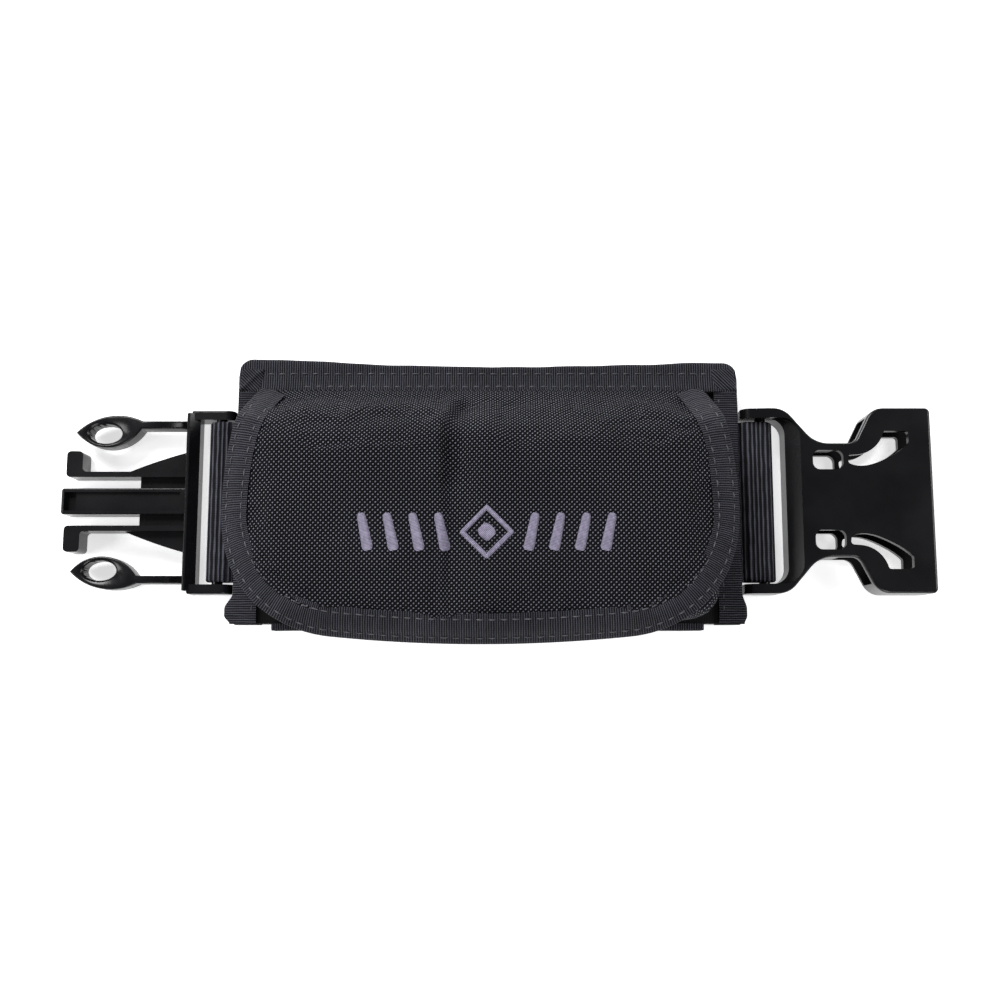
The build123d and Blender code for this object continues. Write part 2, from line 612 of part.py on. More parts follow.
def plug_rail(side):
    """One side rail, from the cross bar back to the pocket's edge."""
    y = sorted((side * (FRAME_HALF_WIDTH - RAIL_WIDTH), side * FRAME_HALF_WIDTH))
    z = (PLUG_MID - PLUG_RAIL_HEIGHT / 2, PLUG_MID + PLUG_RAIL_HEIGHT / 2)
    rail = block((PLUG_RAIL_END, PLUG_FACE_X - PLUG_RAIL_SETBACK), y, z)
    rail = soften(
        rail,
        RAIL_END_SOFT,
        lambda e: abs(e.center().X - PLUG_RAIL_END) < NEAR and e.length < RAIL_WIDTH + SINK,
    )
    return soften(rail, RAIL_SOFT, lambda e: abs(abs(e.center().Y) - FRAME_HALF_WIDTH) < NEAR)


def tongue():
    """The centre tongue, with a long shallow panel and a deeper pocket in its tip."""
    low, high = PLUG_MID - PLUG_INNER_HEIGHT / 2, PLUG_MID + PLUG_INNER_HEIGHT / 2
    tip = PLUG_FACE_X + PLUG_LENGTH
    bar = block((PLUG_FACE_X - SINK, tip), (-TONGUE_HALF, TONGUE_HALF), (low, high))
    bar = soften(bar, TONGUE_TIP_SOFT, lambda e: e.center().X > tip - NEAR)
    bar = soften(
        bar,
        TONGUE_SOFT,
        lambda e: abs(abs(e.center().Y) - TONGUE_HALF) < NEAR and e.length > PLUG_LENGTH / 2,
    )
    half = TONGUE_HALF - TONGUE_WALL
    panel_x = (PLUG_FACE_X + TONGUE_PANEL_START, tip - TONGUE_TIP)
    panel = block(panel_x, (-half, half), (high - TONGUE_PANEL_DEPTH, high + PAST))
    pocket_x = (tip - TONGUE_TIP, tip - TONGUE_WALL)
    pocket = block(pocket_x, (-half, half), (high - TONGUE_POCKET, high + PAST))
    return bar - panel - pocket


def guide():
    """The guide beside the tongue: a hooked rail, its gusset, and the plate that ties it to the tongue."""
    root = PLUG_FACE_X - SINK
    end = PLUG_FACE_X + GUIDE_LENGTH
    hook = end - HOOK_WIDTH
    outer = GUIDE_INNER + GUIDE_THICK
    rail = polygon([
        (root, GUIDE_INNER),
        (end, GUIDE_INNER),
        (end, HOOK_REACH),
        (hook, HOOK_REACH),
        (hook, outer),
        (root, outer),
    ])
    rail = fillet(rail.vertices().filter_by(lambda v: v.X > hook - NEAR), HOOK_SOFT)
    solid = slab(rail, PLUG_MID - PLUG_INNER_HEIGHT / 2, PLUG_MID + PLUG_INNER_HEIGHT / 2)

    plate_y = (TONGUE_HALF - SINK, GUIDE_INNER + SINK)
    low, high = PLUG_MID - WEB_PLATE / 2, PLUG_MID + WEB_PLATE / 2
    solid += block((root, PLUG_FACE_X + WEB_PLATE_LENGTH), plate_y, (low, high))

    toe = PLUG_FACE_X + GUSSET_LENGTH
    bow = ((root + toe) / 2, (outer + GUSSET_REACH) / 2 + GUSSET_BOW)
    gusset = make_face(Wire([
        Line((root, outer - SINK), (toe, outer - SINK)).edge(),
        Line((toe, outer - SINK), (toe, outer)).edge(),
        ThreePointArc((toe, outer), bow, (root, GUSSET_REACH)).edge(),
        Line((root, GUSSET_REACH), (root, outer - SINK)).edge(),
    ]))
    return solid + slab(gusset, low, high)


def plug_frame():
    """Frame, centre tongue and hooked guides of the plug, drawn towards +X and then turned round."""
    frame = plug_cross_bar() + end_bar(PLUG_BAR_X) + tongue() + guide() + mirrored_y(guide())
    for side in (-1, 1):
        frame += plug_rail(side)
    return frame.mirror(Plane.YZ)


def plug_arm(side):
    """One spring arm: a thin blade from the cross bar that ends in an eye-shaped catch."""
    root = PLUG_FACE_X + ARM_ROOT_GAP
    eye = PLUG_FACE_X + EYE_CENTRE
    tip = eye + EYE_HALF_LENGTH
    neck = eye - EYE_HALF_LENGTH - EYE_NECK
    outer = ARM_INNER + ARM_THICK
    tip_y = (EYE_INNER + EYE_OUTER) / 2 - EYE_TIP_DROP
    heel_y = ARM_INNER + SINK
    heel = eye - EYE_HALF_LENGTH
    blade = polygon([(root, ARM_INNER), (heel, ARM_INNER), (heel, outer), (root, outer)])
    leaf = make_face(Wire([
        ThreePointArc((neck, outer), (eye - PAST, EYE_OUTER), (tip, tip_y)).edge(),
        ThreePointArc((tip, tip_y), (eye, EYE_INNER), (neck, heel_y)).edge(),
        Line((neck, heel_y), (neck, outer)).edge(),
    ]))
    low, high = PLUG_MID - ARM_HEIGHT / 2, PLUG_MID + ARM_HEIGHT / 2
    arm = slab(blade + leaf, low, high)
    flat = lambda e: abs(abs(e.center().Z - PLUG_MID) - ARM_HEIGHT / 2) < NEAR
    arm = soften(arm, ARM_SOFT, lambda e: flat(e) and e.center().X > root + NEAR)
    arm -= slab(Pos(PLUG_FACE_X + EYE_HOLE_X, EYE_HOLE_Y) * Ellipse(*EYE_HOLE), low - PAST, high + PAST)
    hole_rim = lambda e: flat(e) and e.geom_type == GeomType.BSPLINE and e.length > 4 * EYE_HOLE[0]
    arm = chamfer([e for e in arm.edges() if hole_rim(e)], EYE_CHAMFER).mirror(Plane.YZ)
    return arm if side > 0 else mirrored_y(arm)


def socket_outline():
    """Plan of the socket: frame, scooped waist and the two posts beside the mouth."""
    scoop = [(MOUTH_X - back, FRAME_HALF_WIDTH - depth) for back, depth, _ in SCOOP]
    side = [(SOCKET_RAIL_END, FRAME_HALF_WIDTH), *scoop, (MOUTH_X, FRAME_HALF_WIDTH)]
    plan = polygon(side + [(x, -y) for x, y in reversed(side)])
    for (x, _), (_, _, radius) in zip(scoop, SCOOP):
        plan = fillet(plan.vertices().filter_by(lambda v, x=x: abs(v.X - x) < NEAR), radius)
    return fillet(plan.vertices().filter_by(lambda v: v.X > MOUTH_X - NEAR), POST_CORNER)


def big_window():
    """The window in a post: it follows the scoop on one side and the plug's arm on the other."""
    inner = [(MOUTH_X - back, y) for back, y in WINDOW_INNER]
    outer = [(MOUTH_X - back, y) for back, y in WINDOW_OUTER]
    corner = (inner[-1][0], outer[0][1])
    window = make_face(Wire([
        Spline(*inner).edge(),
        Line(inner[-1], corner).edge(),
        Line(corner, outer[0]).edge(),
        Spline(*outer).edge(),
        Line(outer[-1], inner[0]).edge(),
    ]))
    return fillet(window.vertices(), WINDOW_SOFT)


def socket_cavity():
    """The room inside the socket, which follows the plug with a clearance all round."""
    low = SOCKET_MID - PLUG_INNER_HEIGHT / 2 - SOCKET_FIT
    high = SOCKET_MID + PLUG_INNER_HEIGHT / 2 + SOCKET_FIT
    deep = MOUTH_X - PLUG_LENGTH - SOCKET_FIT
    narrow = HOOK_REACH + SOCKET_FIT
    wide = ARM_INNER + ARM_THICK + SOCKET_FIT
    room = block((deep, MOUTH_X + PAST), (-narrow, narrow), (low, high))
    return room + block((THROAT_X, MOUTH_X + PAST), (-wide, wide), (low, high))


def socket_shell():
    """Hollow half of the buckle, open at the mouth and at both scoops."""
    body = slab(socket_outline(), 0, SOCKET_HEIGHT)
    flat_rim = lambda e: abs(abs(e.center().Z - SOCKET_MID) - SOCKET_MID) < NEAR
    between_ends = lambda e: SOCKET_RAIL_END + NEAR < e.center().X < MOUTH_X - NEAR
    body = soften(body, EDGE_SOFT, lambda e: flat_rim(e) and between_ends(e))

    # The slot for the webbing, with sloping faces above and below the cross bar.
    inner = FRAME_HALF_WIDTH - RAIL_WIDTH
    slot = block((SOCKET_RAIL_END - 2 * PAST, SOCKET_SLOT_X), (-inner, inner), (-PAST, SOCKET_HEIGHT + PAST))
    upright = lambda e: e.length > SOCKET_HEIGHT and abs(e.center().Z - SOCKET_MID) < NEAR
    at_bar = lambda e: abs(e.center().X - SOCKET_SLOT_X) < NEAR
    body -= soften(slot, SOCKET_SLOT_CORNER, lambda e: at_bar(e) and upright(e))
    dip = [
        (SOCKET_SLOT_X - SOCKET_DIP_RUN, SOCKET_CROSS_DIP),
        (SOCKET_SLOT_X, SOCKET_CROSS_DIP),
        (SOCKET_FACE_X, 0),
    ]
    trough = Pos(SOCKET_FACE_X - inner, 0) * RectangleRounded(2 * inner, 2 * inner, DECK_CORNER)
    body = sloped(body, dip, trough)
    taper = [(SOCKET_RAIL_END - PAST, RAIL_TAPER), (SOCKET_SLOT_X + PAST, 0)]
    body = sloped(body, taper, Pos(SOCKET_SLOT_X, 0) * Rectangle(2 * HALF, 2 * HALF))
    at_end = lambda e: abs(e.center().X - SOCKET_RAIL_END) < NEAR and abs(e.length - RAIL_WIDTH) < SINK
    body = soften(body, RAIL_END_SOFT, at_end) - socket_cavity()

    for side in (-1, 1):
        centre = (MOUTH_X - SMALL_WINDOW_FROM_MOUTH, side * SMALL_WINDOW_Y)
        small = Pos(*centre) * RectangleRounded(*SMALL_WINDOW, SMALL_WINDOW_CORNER)
        big = slab(big_window(), -PAST, SOCKET_HEIGHT + PAST)
        body -= slab(small, -PAST, SOCKET_HEIGHT + PAST)
        body -= big if side > 0 else mirrored_y(big)
    return body + end_bar(SOCKET_BAR_X)


# ---------------------------------------------------------------- all pieces

PIECES = {
    "back_panel": lambda: back_panel() - back_notch(),
    "back_foam": back_foam,
    "back_binding_left": lambda: back_binding(-1),
    "back_binding_right": lambda: back_binding(1),
    "box_stitching": box_stitching,
    "belt_webbing": belt_webbing,
    "pouch_rear": pouch_rear,
    "pouch_front": pouch_front,
    "side_binding_left": lambda: side_binding(-1),
    "side_binding_right": lambda: side_binding(1),
    "top_binding": top_binding,
    "bottom_binding": bottom_binding,
    "flap_hem": flap_hem,
    "tape_stitching": tape_stitching,
    "loop_strip": loop_strip,
    "weight_left": lambda: lead_weight(-1),
    "weight_right": lambda: lead_weight(1),
    "flap_panel": flap_panel,
    "flap_lining": flap_lining,
    "flap_binding": flap_binding,
    "flap_stitching": flap_stitching,
    "hook_strip": hook_strip,
    "flap_emblem": flap_emblem,
    "plug_frame": plug_frame,
    "plug_arm_upper": lambda: plug_arm(1),
    "plug_arm_lower": lambda: plug_arm(-1),
    "socket_shell": socket_shell,
}

if __name__ == "__main__":
    os.makedirs("parts", exist_ok=True)
    for name, make in PIECES.items():
        export_step(make(), f"parts/{name}.step")
    print("hinge", HINGE_Y, round(HINGE_Z, 3))
    print("bars", -PLUG_BAR_X, SOCKET_BAR_X, round(BAR_Z, 3))
    print("faces", round(-PLUG_FACE_X, 3), round(SOCKET_FACE_X, 3), round(MOUTH_X, 3))
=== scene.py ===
"""Dive weight belt section: the finished pieces that dress the CAD frame.

Laid out as an add-on and run as a script. Lengths inside the builders are millimetres in the belt's own
frame: X along the belt towards the socket, Y towards the flap's fold and Z out of the pocket's front. They
become metres where a mesh is made.
"""

import json
from math import atan2, cos, exp, hypot, pi, radians, sin, sqrt

import bmesh
import bpy
from bpy.props import FloatProperty, IntProperty, PointerProperty, StringProperty
from mathutils import Matrix, Vector, noise


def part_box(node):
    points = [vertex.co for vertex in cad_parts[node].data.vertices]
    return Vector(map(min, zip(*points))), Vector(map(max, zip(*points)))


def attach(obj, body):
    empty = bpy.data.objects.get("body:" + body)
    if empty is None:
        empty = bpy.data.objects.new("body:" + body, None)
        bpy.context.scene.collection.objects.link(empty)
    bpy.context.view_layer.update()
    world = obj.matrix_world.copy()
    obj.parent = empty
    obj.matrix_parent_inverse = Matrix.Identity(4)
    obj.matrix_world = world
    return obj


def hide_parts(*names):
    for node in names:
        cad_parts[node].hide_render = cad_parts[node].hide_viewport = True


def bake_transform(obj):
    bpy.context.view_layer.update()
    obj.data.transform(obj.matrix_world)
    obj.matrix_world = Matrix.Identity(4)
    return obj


bl_info = {
    "name": "Dive Weight Belt",
    "version": (1, 0, 0),
    "blender": (4, 5, 0),
    "location": "View3D > Sidebar > Weight Belt",
    "description": "Builds the sewn pocket, webbing and buckle finishes of a dive weight belt section",
    "category": "Add Mesh",
}

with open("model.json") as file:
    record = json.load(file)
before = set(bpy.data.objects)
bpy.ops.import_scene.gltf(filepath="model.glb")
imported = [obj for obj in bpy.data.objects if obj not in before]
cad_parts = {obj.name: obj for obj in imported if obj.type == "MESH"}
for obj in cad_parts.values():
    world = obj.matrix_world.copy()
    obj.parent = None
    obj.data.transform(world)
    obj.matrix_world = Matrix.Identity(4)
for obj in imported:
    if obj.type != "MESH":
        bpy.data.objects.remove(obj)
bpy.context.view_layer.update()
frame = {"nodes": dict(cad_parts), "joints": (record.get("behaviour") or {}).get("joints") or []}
MM = 0.001


def node_box(name):
    """A CAD node's lowest and highest corners, in millimetres."""
    low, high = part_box(name)
    return low / MM, high / MM


REAR = node_box("pouch_rear")
PANEL = node_box("back_panel")
BAND = node_box("top_binding")
SIDE_TAPE = node_box("side_binding_right")
BACK_TAPE = node_box("back_binding_right")
FRONT = node_box("pouch_front")
FLAP = node_box("flap_panel")
WEB = node_box("belt_webbing")
LOOP_STRIP = node_box("loop_strip")
HOOK_STRIP = node_box("hook_strip")
BOTTOM_TAPE = node_box("bottom_binding")
JOINTS = {joint["name"]: joint for joint in frame["joints"]}
HALF = REAR[1].x
HINGE = Vector(JOINTS["flap_hinge"]["pos_m"]) / MM
PLUG_BAR = Vector(JOINTS["plug_pivot"]["pos_m"]) / MM
SOCKET_BAR = Vector(JOINTS["socket_pivot"]["pos_m"]) / MM


# ---------------------------------------------------------------- settings


class BeltSettings(bpy.types.PropertyGroup):
    """Sizes that belong to the whole belt."""

    weave_cell: FloatProperty(
        name="Weave cell", description="Width of one yarn crossing in the pocket's fabric, in millimetres",
        default=0.74, min=0.3, max=3.0,
    )
    tape_rib: FloatProperty(
        name="Tape rib", description="Pitch of the ribs across the binding tape, in millimetres",
        default=0.72, min=0.3, max=3.0,
    )
    web_rib: FloatProperty(
        name="Webbing rib", description="Pitch of the ribs across the webbing, in millimetres",
        default=1.3, min=0.5, max=4.0,
    )
    tape_width: FloatProperty(
        name="Flap tape width", description="Width of the tape that shows on the flap's face, in millimetres",
        default=8.4, min=4.0, max=15.0,
    )
    stitch_pitch: FloatProperty(
        name="Stitch pitch", description="Distance from one stitch to the next, in millimetres",
        default=3.5, min=2.0, max=6.0,
    )
    valley_depth: FloatProperty(
        name="Valley depth", description="How far the flap sinks between the two weights, in millimetres",
        default=5.0, min=0.0, max=6.0,
    )
    cloth_frames: IntProperty(
        name="Cloth frames", description="How long the cloth settles before it is applied",
        default=20, min=2, max=60,
    )
    fabric_colour: StringProperty(name="Fabric", description="Pocket fabric, sRGB hex", default="161619")
    tape_colour: StringProperty(name="Tape", description="Binding tape, sRGB hex", default="1b1b1f")
    webbing_colour: StringProperty(name="Webbing", description="Belt webbing, sRGB hex", default="1b1b1f")
    thread_colour: StringProperty(name="Thread", description="Sewing thread, sRGB hex", default="45454b")
    emblem_colour: StringProperty(name="Emblem", description="Embroidery thread, sRGB hex", default="8a839b")
    plastic_colour: StringProperty(name="Plastic", description="Moulded buckle, sRGB hex", default="0e0e10")


def settings():
    return bpy.context.scene.belt_settings


# ---------------------------------------------------------------- materials


def rgb(hex_code):
    """An sRGB hex colour as linear RGBA."""
    values = [int(hex_code[i:i + 2], 16) / 255 for i in (0, 2, 4)]
    return (*[v / 12.92 if v <= 0.04045 else ((v + 0.055) / 1.055) ** 2.4 for v in values], 1.0)


SINE, COSINE, ABSOLUTE, POWER, SUBTRACT, MULTIPLY, MULTIPLY_ADD, SCALE = (
    {"operation": name} for name in
    ("SINE", "COSINE", "ABSOLUTE", "POWER", "SUBTRACT", "MULTIPLY", "MULTIPLY_ADD", "SCALE")
)


def feed(tree, node, **inputs):
    """Sets or links a node's inputs, named with _ for a space, or by number as _0.

    A node given as a value stands for its first output."""
    for name, value in inputs.items():
        key = int(name[1:]) if name[0] == "_" else name.replace("_", " ")
        if isinstance(value, bpy.types.Node):
            value = value.outputs[0]
        if isinstance(value, bpy.types.NodeSocket):
            tree.links.new(value, node.inputs[key])
        else:
            node.inputs[key].default_value = value


def put(tree, kind, options=None, stops=(), **inputs):
    """Adds a node with its settings, its colour stops and what feeds it."""
    node = tree.nodes.new(f"ShaderNode{kind}")
    for name, value in (options or {}).items():
        setattr(node, name, value)
    for number, (place, colour) in enumerate(stops):
        elements = node.color_ramp.elements
        element = elements[number] if number < len(elements) else elements.new(place)
        element.position, element.color = place, colour
    feed(tree, node, **inputs)
    return node


def blank(name):
    """An empty material with its output and shader, ready for a pattern."""
    material = bpy.data.materials.new(name)
    material.use_nodes = True
    tree = material.node_tree
    tree.nodes.clear()
    shader = put(tree, "BsdfPrincipled")
    put(tree, "OutputMaterial", Surface=shader)
    return material, tree, shader


def once(make):
    """Makes a material the first time it is asked for, and hands out the same one after that."""
    name = make.__name__

    def fetch():
        return bpy.data.materials.get(name) or make()

    return fetch


def shade(hex_code, factor):
    """A lighter or darker version of an sRGB hex colour, in linear light."""
    r, g, b, a = rgb(hex_code)
    return (r * factor, g * factor, b * factor, a)


def tones(base, *pairs):
    """Ramp stops from (place, factor) pairs, all of them shades of one colour."""
    return [(place, shade(base, factor)) for place, factor in pairs]


@once
def coated_basket_weave_nylon():
    """Ballistic nylon: thick black yarns, each crossing a small satin pillow, with painted highlights on half
    the crossings and painted shade along the gaps between them.
    """
    material, tree, shader = blank("coated_basket_weave_nylon")
    cell = settings().weave_cell * MM
    uv = put(tree, "TexCoord").outputs["UV"]
    wander = put(tree, "TexNoise", Vector=uv, Scale=160.0, Detail=2.0)
    drift = put(tree, "VectorMath", MULTIPLY_ADD,
                _0=wander.outputs["Color"], _1=(0.00035, 0.00035, 0), _2=uv)
    parts = put(tree, "SeparateXYZ", Vector=drift)
    across = put(tree, "Math", SINE, _0=put(tree, "Math", MULTIPLY, _0=parts.outputs[0], _1=pi / cell))
    along = put(tree, "Math", SINE, _0=put(tree, "Math", MULTIPLY, _0=parts.outputs[1], _1=pi / cell))
    crossing = put(tree, "Math", MULTIPLY, _0=across, _1=along)
    height = put(tree, "Math", POWER, _0=put(tree, "Math", ABSOLUTE, _0=crossing), _1=0.55)
    # highlight_streak tilts the tone along diagonals, so the painted highlights join into diagonal streaks.
    slant = put(tree, "Math", SUBTRACT, _0=parts.outputs[0], _1=parts.outputs[1])
    highlight_streak = put(tree, "Math", COSINE, _0=put(tree, "Math", MULTIPLY, _0=slant, _1=pi / cell))
    crossing = put(tree, "Math", MULTIPLY_ADD, _0=highlight_streak, _1=0.22, _2=crossing)
    tone = put(tree, "Math", MULTIPLY_ADD, _0=crossing, _1=0.42, _2=0.5)
    base = settings().fabric_colour
    # The ramp paints shade along the gaps between yarns, down to a tenth of the base, and a painted highlight
    # up to 22 times the base where the top yarn crosses.
    colour = put(tree, "ValToRGB", Fac=tone,
                 stops=tones(base, (0.0, 1.0), (0.3, 0.4), (0.5, 0.1), (0.7, 1.4), (1.0, 22.0)))
    cloud = put(tree, "TexNoise", Vector=uv, Scale=45.0, Detail=3.0)
    wear = put(tree, "Math", MULTIPLY_ADD, _0=cloud, _1=0.5, _2=0.75)
    tinted = put(tree, "VectorMath", SCALE, _0=colour, Scale=wear)
    bump = put(tree, "Bump", Height=height, Strength=0.9, Distance=0.00022)
    greys = [(place, (value, value, value, 1)) for place, value in ((0.0, 0.6), (0.5, 0.85), (1.0, 0.42))]
    rough = put(tree, "ValToRGB", Fac=tone, stops=greys)
    feed(tree, shader, Base_Color=tinted, Roughness=rough, Normal=bump, Specular_IOR_Level=0.05)
    return material


def ribbed(name, pitch, base, depth, crest_highlight, fuzz):
    """Ribs that run across a woven band, with fine yarn noise; U runs along the band, in metres. The colour
    is painted darker in the rib hollows and up to crest_highlight times the base on the crests: painted shade
    and painted highlight.
    """
    material, tree, shader = blank(name)
    uv = put(tree, "TexCoord").outputs["UV"]
    stretch = put(tree, "Mapping", Vector=uv, Scale=(1.0, 0.12, 1.0))
    yarn = put(tree, "TexNoise", Vector=stretch, Scale=1500.0, Detail=2.0)
    parts = put(tree, "SeparateXYZ", Vector=uv)
    wobble = put(tree, "Math", MULTIPLY_ADD, _0=yarn, _1=pitch * MM * 0.4, _2=parts.outputs[0])
    wave = put(tree, "Math", SINE, _0=put(tree, "Math", MULTIPLY, _0=wobble, _1=2 * pi / (pitch * MM)))
    yarns = put(tree, "Math", MULTIPLY, _0=parts.outputs[1], _1=2 * pi / (0.55 * MM))
    twill = put(tree, "Math", SINE, _0=yarns)
    height = put(tree, "Math", MULTIPLY_ADD, _0=twill, _1=0.16, _2=wave)
    tone = put(tree, "Math", MULTIPLY_ADD, _0=height, _1=0.42, _2=0.5)
    # Painted shade in the rib hollows, at 0.3 of the base, and a painted highlight on the crests.
    colour = put(tree, "ValToRGB", Fac=tone, stops=tones(base, (0.0, 0.3), (0.55, 1.0), (1.0, crest_highlight)))
    patch = put(tree, "TexNoise", Vector=uv, Scale=70.0, Detail=3.0)
    wear = put(tree, "Math", MULTIPLY_ADD, _0=patch, _1=0.9, _2=0.55)
    tinted = put(tree, "VectorMath", SCALE, _0=colour, Scale=wear)
    bump = put(tree, "Bump", Height=height, Strength=0.8, Distance=depth * MM)
    feed(tree, shader, Base_Color=tinted, Normal=bump, Roughness=0.62,
         Specular_IOR_Level=0.08, Sheen_Weight=fuzz, Sheen_Roughness=0.5)
    return material


@once
def ribbed_binding_tape():
    """Nylon grosgrain: fine crosswise ribs with a dull shine, and a painted highlight on the rib crests in
    short streaks.
    """
    return ribbed("ribbed_binding_tape", settings().tape_rib, settings().tape_colour, 0.09, 7.0, 0.02)


@once
def ribbed_nylon_webbing():
    """Heavy nylon webbing: bold crosswise ribs of twisted yarn, with deeper bumps and a brighter painted
    highlight on the crests than the tape.
    """
    return ribbed("ribbed_nylon_webbing", settings().web_rib, settings().webbing_colour, 0.16, 9.0, 0.02)


@once
def smooth_lining_nylon():
    """Thin lining cloth: a fine plain weave, dull and even."""
    # A faint painted highlight on the rib crests, 1.6 times the base.
    return ribbed("smooth_lining_nylon", 0.5, "131315", 0.03, 1.6, 0.05)


def fibrous(name, base, scale, depth, roughness, sheen, light):
    """A fine random surface: foam cells, hooks or pile, drawn in Object coordinates. Raised cell centres are
    painted light times the base and the sunken cell edges about half of it: painted highlight and painted
    shade that follow the bump.
    """
    material, tree, shader = blank(name)
    place = put(tree, "TexCoord").outputs["Object"]
    cells = put(tree, "TexVoronoi", Vector=place, Scale=1 / (scale * MM))
    # Painted highlight on the raised cell centres and painted shade at the sunken cell edges.
    colour = put(tree, "ValToRGB", Fac=cells, stops=tones(base, (0.0, light), (0.8, 0.5)))
    bump = put(tree, "Bump", {"invert": True}, Height=cells,
               Strength=0.8, Distance=depth * MM)
    feed(tree, shader, Base_Color=colour, Normal=bump, Roughness=roughness, Sheen_Weight=sheen)
    return material


@once
def closed_cell_foam():
    """Closed-cell foam: charcoal and matt, with a fine cut-cell grain."""
    return fibrous("closed_cell_foam", "2a2a2d", 0.5, 0.1, 0.9, 0.0, 1.3)


@once
def woven_hook_tape():
    """Hook side of a touch fastener: stiff glossy hooks in rows, with a coarse sparkle painted into the
    colour as bright cell centres.
    """
    return fibrous("woven_hook_tape", "19191b", 0.6, 0.3, 0.45, 0.1, 3.0)


@once
def brushed_loop_pile():
    """Loop side of a touch fastener: a soft brushed pile, matt with a haze of sheen."""
    return fibrous("brushed_loop_pile", "1b1b1e", 0.45, 0.3, 0.9, 0.5, 1.6)


@once
def bonded_nylon_thread():
    """Bonded sewing thread: twisted grey plies with a low shine."""
    material, tree, shader = blank("bonded_nylon_thread")
    place = put(tree, "TexCoord").outputs["Object"]
    speckle = put(tree, "TexNoise", Vector=place, Scale=900.0, Detail=2.0)
    base = settings().thread_colour
    colour = put(tree, "ValToRGB", Fac=speckle, stops=tones(base, (0.3, 0.35), (0.7, 1.25)))
    feed(tree, shader, Base_Color=colour, Roughness=0.5)
    return material


@once
def satin_stitch_thread():
    """Rayon embroidery: fine parallel threads laid across each shape, with a silky highlight from its sheen
    and low roughness, and the colour painted lighter on each thread's crest and darker between threads.
    """
    material, tree, shader = blank("satin_stitch_thread")
    uv = put(tree, "TexCoord").outputs["UV"]
    jitter = put(tree, "TexNoise", Vector=uv, Scale=700.0, Detail=2.0)
    parts = put(tree, "SeparateXYZ", Vector=uv)
    shifted = put(tree, "Math", MULTIPLY_ADD, _0=jitter, _1=0.0002, _2=parts.outputs[1])
    lines = put(tree, "Math", SINE, _0=put(tree, "Math", MULTIPLY, _0=shifted, _1=2 * pi / (0.42 * MM)))
    # The thread lines paint each thread lighter on its crest and darker in the groove beside it, in step with
    # the bump: painted highlight and painted shade.
    tone = put(tree, "Math", MULTIPLY_ADD, _0=lines, _1=0.3, _2=jitter)
    base = settings().emblem_colour
    colour = put(tree, "ValToRGB", Fac=tone, stops=tones(base, (0.15, 0.4), (0.6, 1.0), (1.0, 1.5)))
    bump = put(tree, "Bump", Height=lines, Strength=0.7, Distance=0.0001)
    feed(tree, shader, Base_Color=colour, Normal=bump, Roughness=0.45, Sheen_Weight=0.2)
    return material


@once
def grained_black_acetal():
    """Injection-moulded acetal with a spark-eroded grain: black, hard and satin, shinier where rubbed."""
    material, tree, shader = blank("grained_black_acetal")
    place = put(tree, "TexCoord").outputs["Object"]
    grain = put(tree, "TexNoise", Vector=place, Scale=2600.0, Detail=2.0)
    flow = put(tree, "TexNoise", Vector=place, Scale=60.0, Detail=3.0)
    base = settings().plastic_colour
    colour = put(tree, "ValToRGB", Fac=flow, stops=tones(base, (0.3, 0.8), (0.7, 1.35)))
    rough = put(tree, "Math", MULTIPLY_ADD, _0=flow, _1=0.14, _2=0.2)
    bump = put(tree, "Bump", Height=grain, Strength=0.3, Distance=0.00001)
    feed(tree, shader, Base_Color=colour, Roughness=rough, Normal=bump, IOR=1.42)
    return material


@once
def oxidised_cast_lead():
    """Cast lead: dull blue-grey, soft, with a cloudy oxide skin and small casting pits."""
    material, tree, shader = blank("oxidised_cast_lead")
    place = put(tree, "TexCoord").outputs["Object"]
    oxide = put(tree, "TexNoise", Vector=place, Scale=90.0, Detail=6.0)
    pits = put(tree, "TexVoronoi", Vector=place, Scale=500.0)
    colour = put(tree, "ValToRGB", stops=[(0.3, rgb("55585c")), (0.7, rgb("84888d"))], Fac=oxide)
    bump = put(tree, "Bump", Height=pits, Strength=0.4, Distance=0.0002)
    feed(tree, shader, Base_Color=colour, Normal=bump, Metallic=0.85, Roughness=0.5)
    return material


@once
def pale_studio_floor():
    """Opal acrylic lit from below: near white, matt, with a faint mottle, so that shadows stay pale."""
    material, tree, shader = blank("pale_studio_floor")
    place = put(tree, "TexCoord").outputs["Object"]
    mottle = put(tree, "TexNoise", Vector=place, Scale=3.0, Detail=2.0)
    colour = put(tree, "ValToRGB", stops=[(0.0, rgb("f4f4f5")), (1.0, rgb("fbfbfb"))], Fac=mottle)
    feed(tree, shader, Base_Color=colour, Emission_Color=colour, Emission_Strength=0.7, Roughness=0.8)
    return material


# ---------------------------------------------------------------- mesh tools


def clear_selection():
    if bpy.context.object and bpy.context.object.mode != "OBJECT":
        bpy.ops.object.mode_set(mode="OBJECT")
    bpy.ops.object.select_all(action="DESELECT")


def only(piece):
    """Selects one object and makes it active."""
    clear_selection()
    piece.select_set(True)
    bpy.context.view_layer.objects.active = piece


def add_modifier(piece, kind, **values):
    """Adds a modifier and applies it."""
    modifier = piece.modifiers.new(kind.title(), kind)
    for name, value in values.items():
        setattr(modifier, name, value)
    only(piece)
    bpy.ops.object.modifier_apply(modifier=modifier.name)


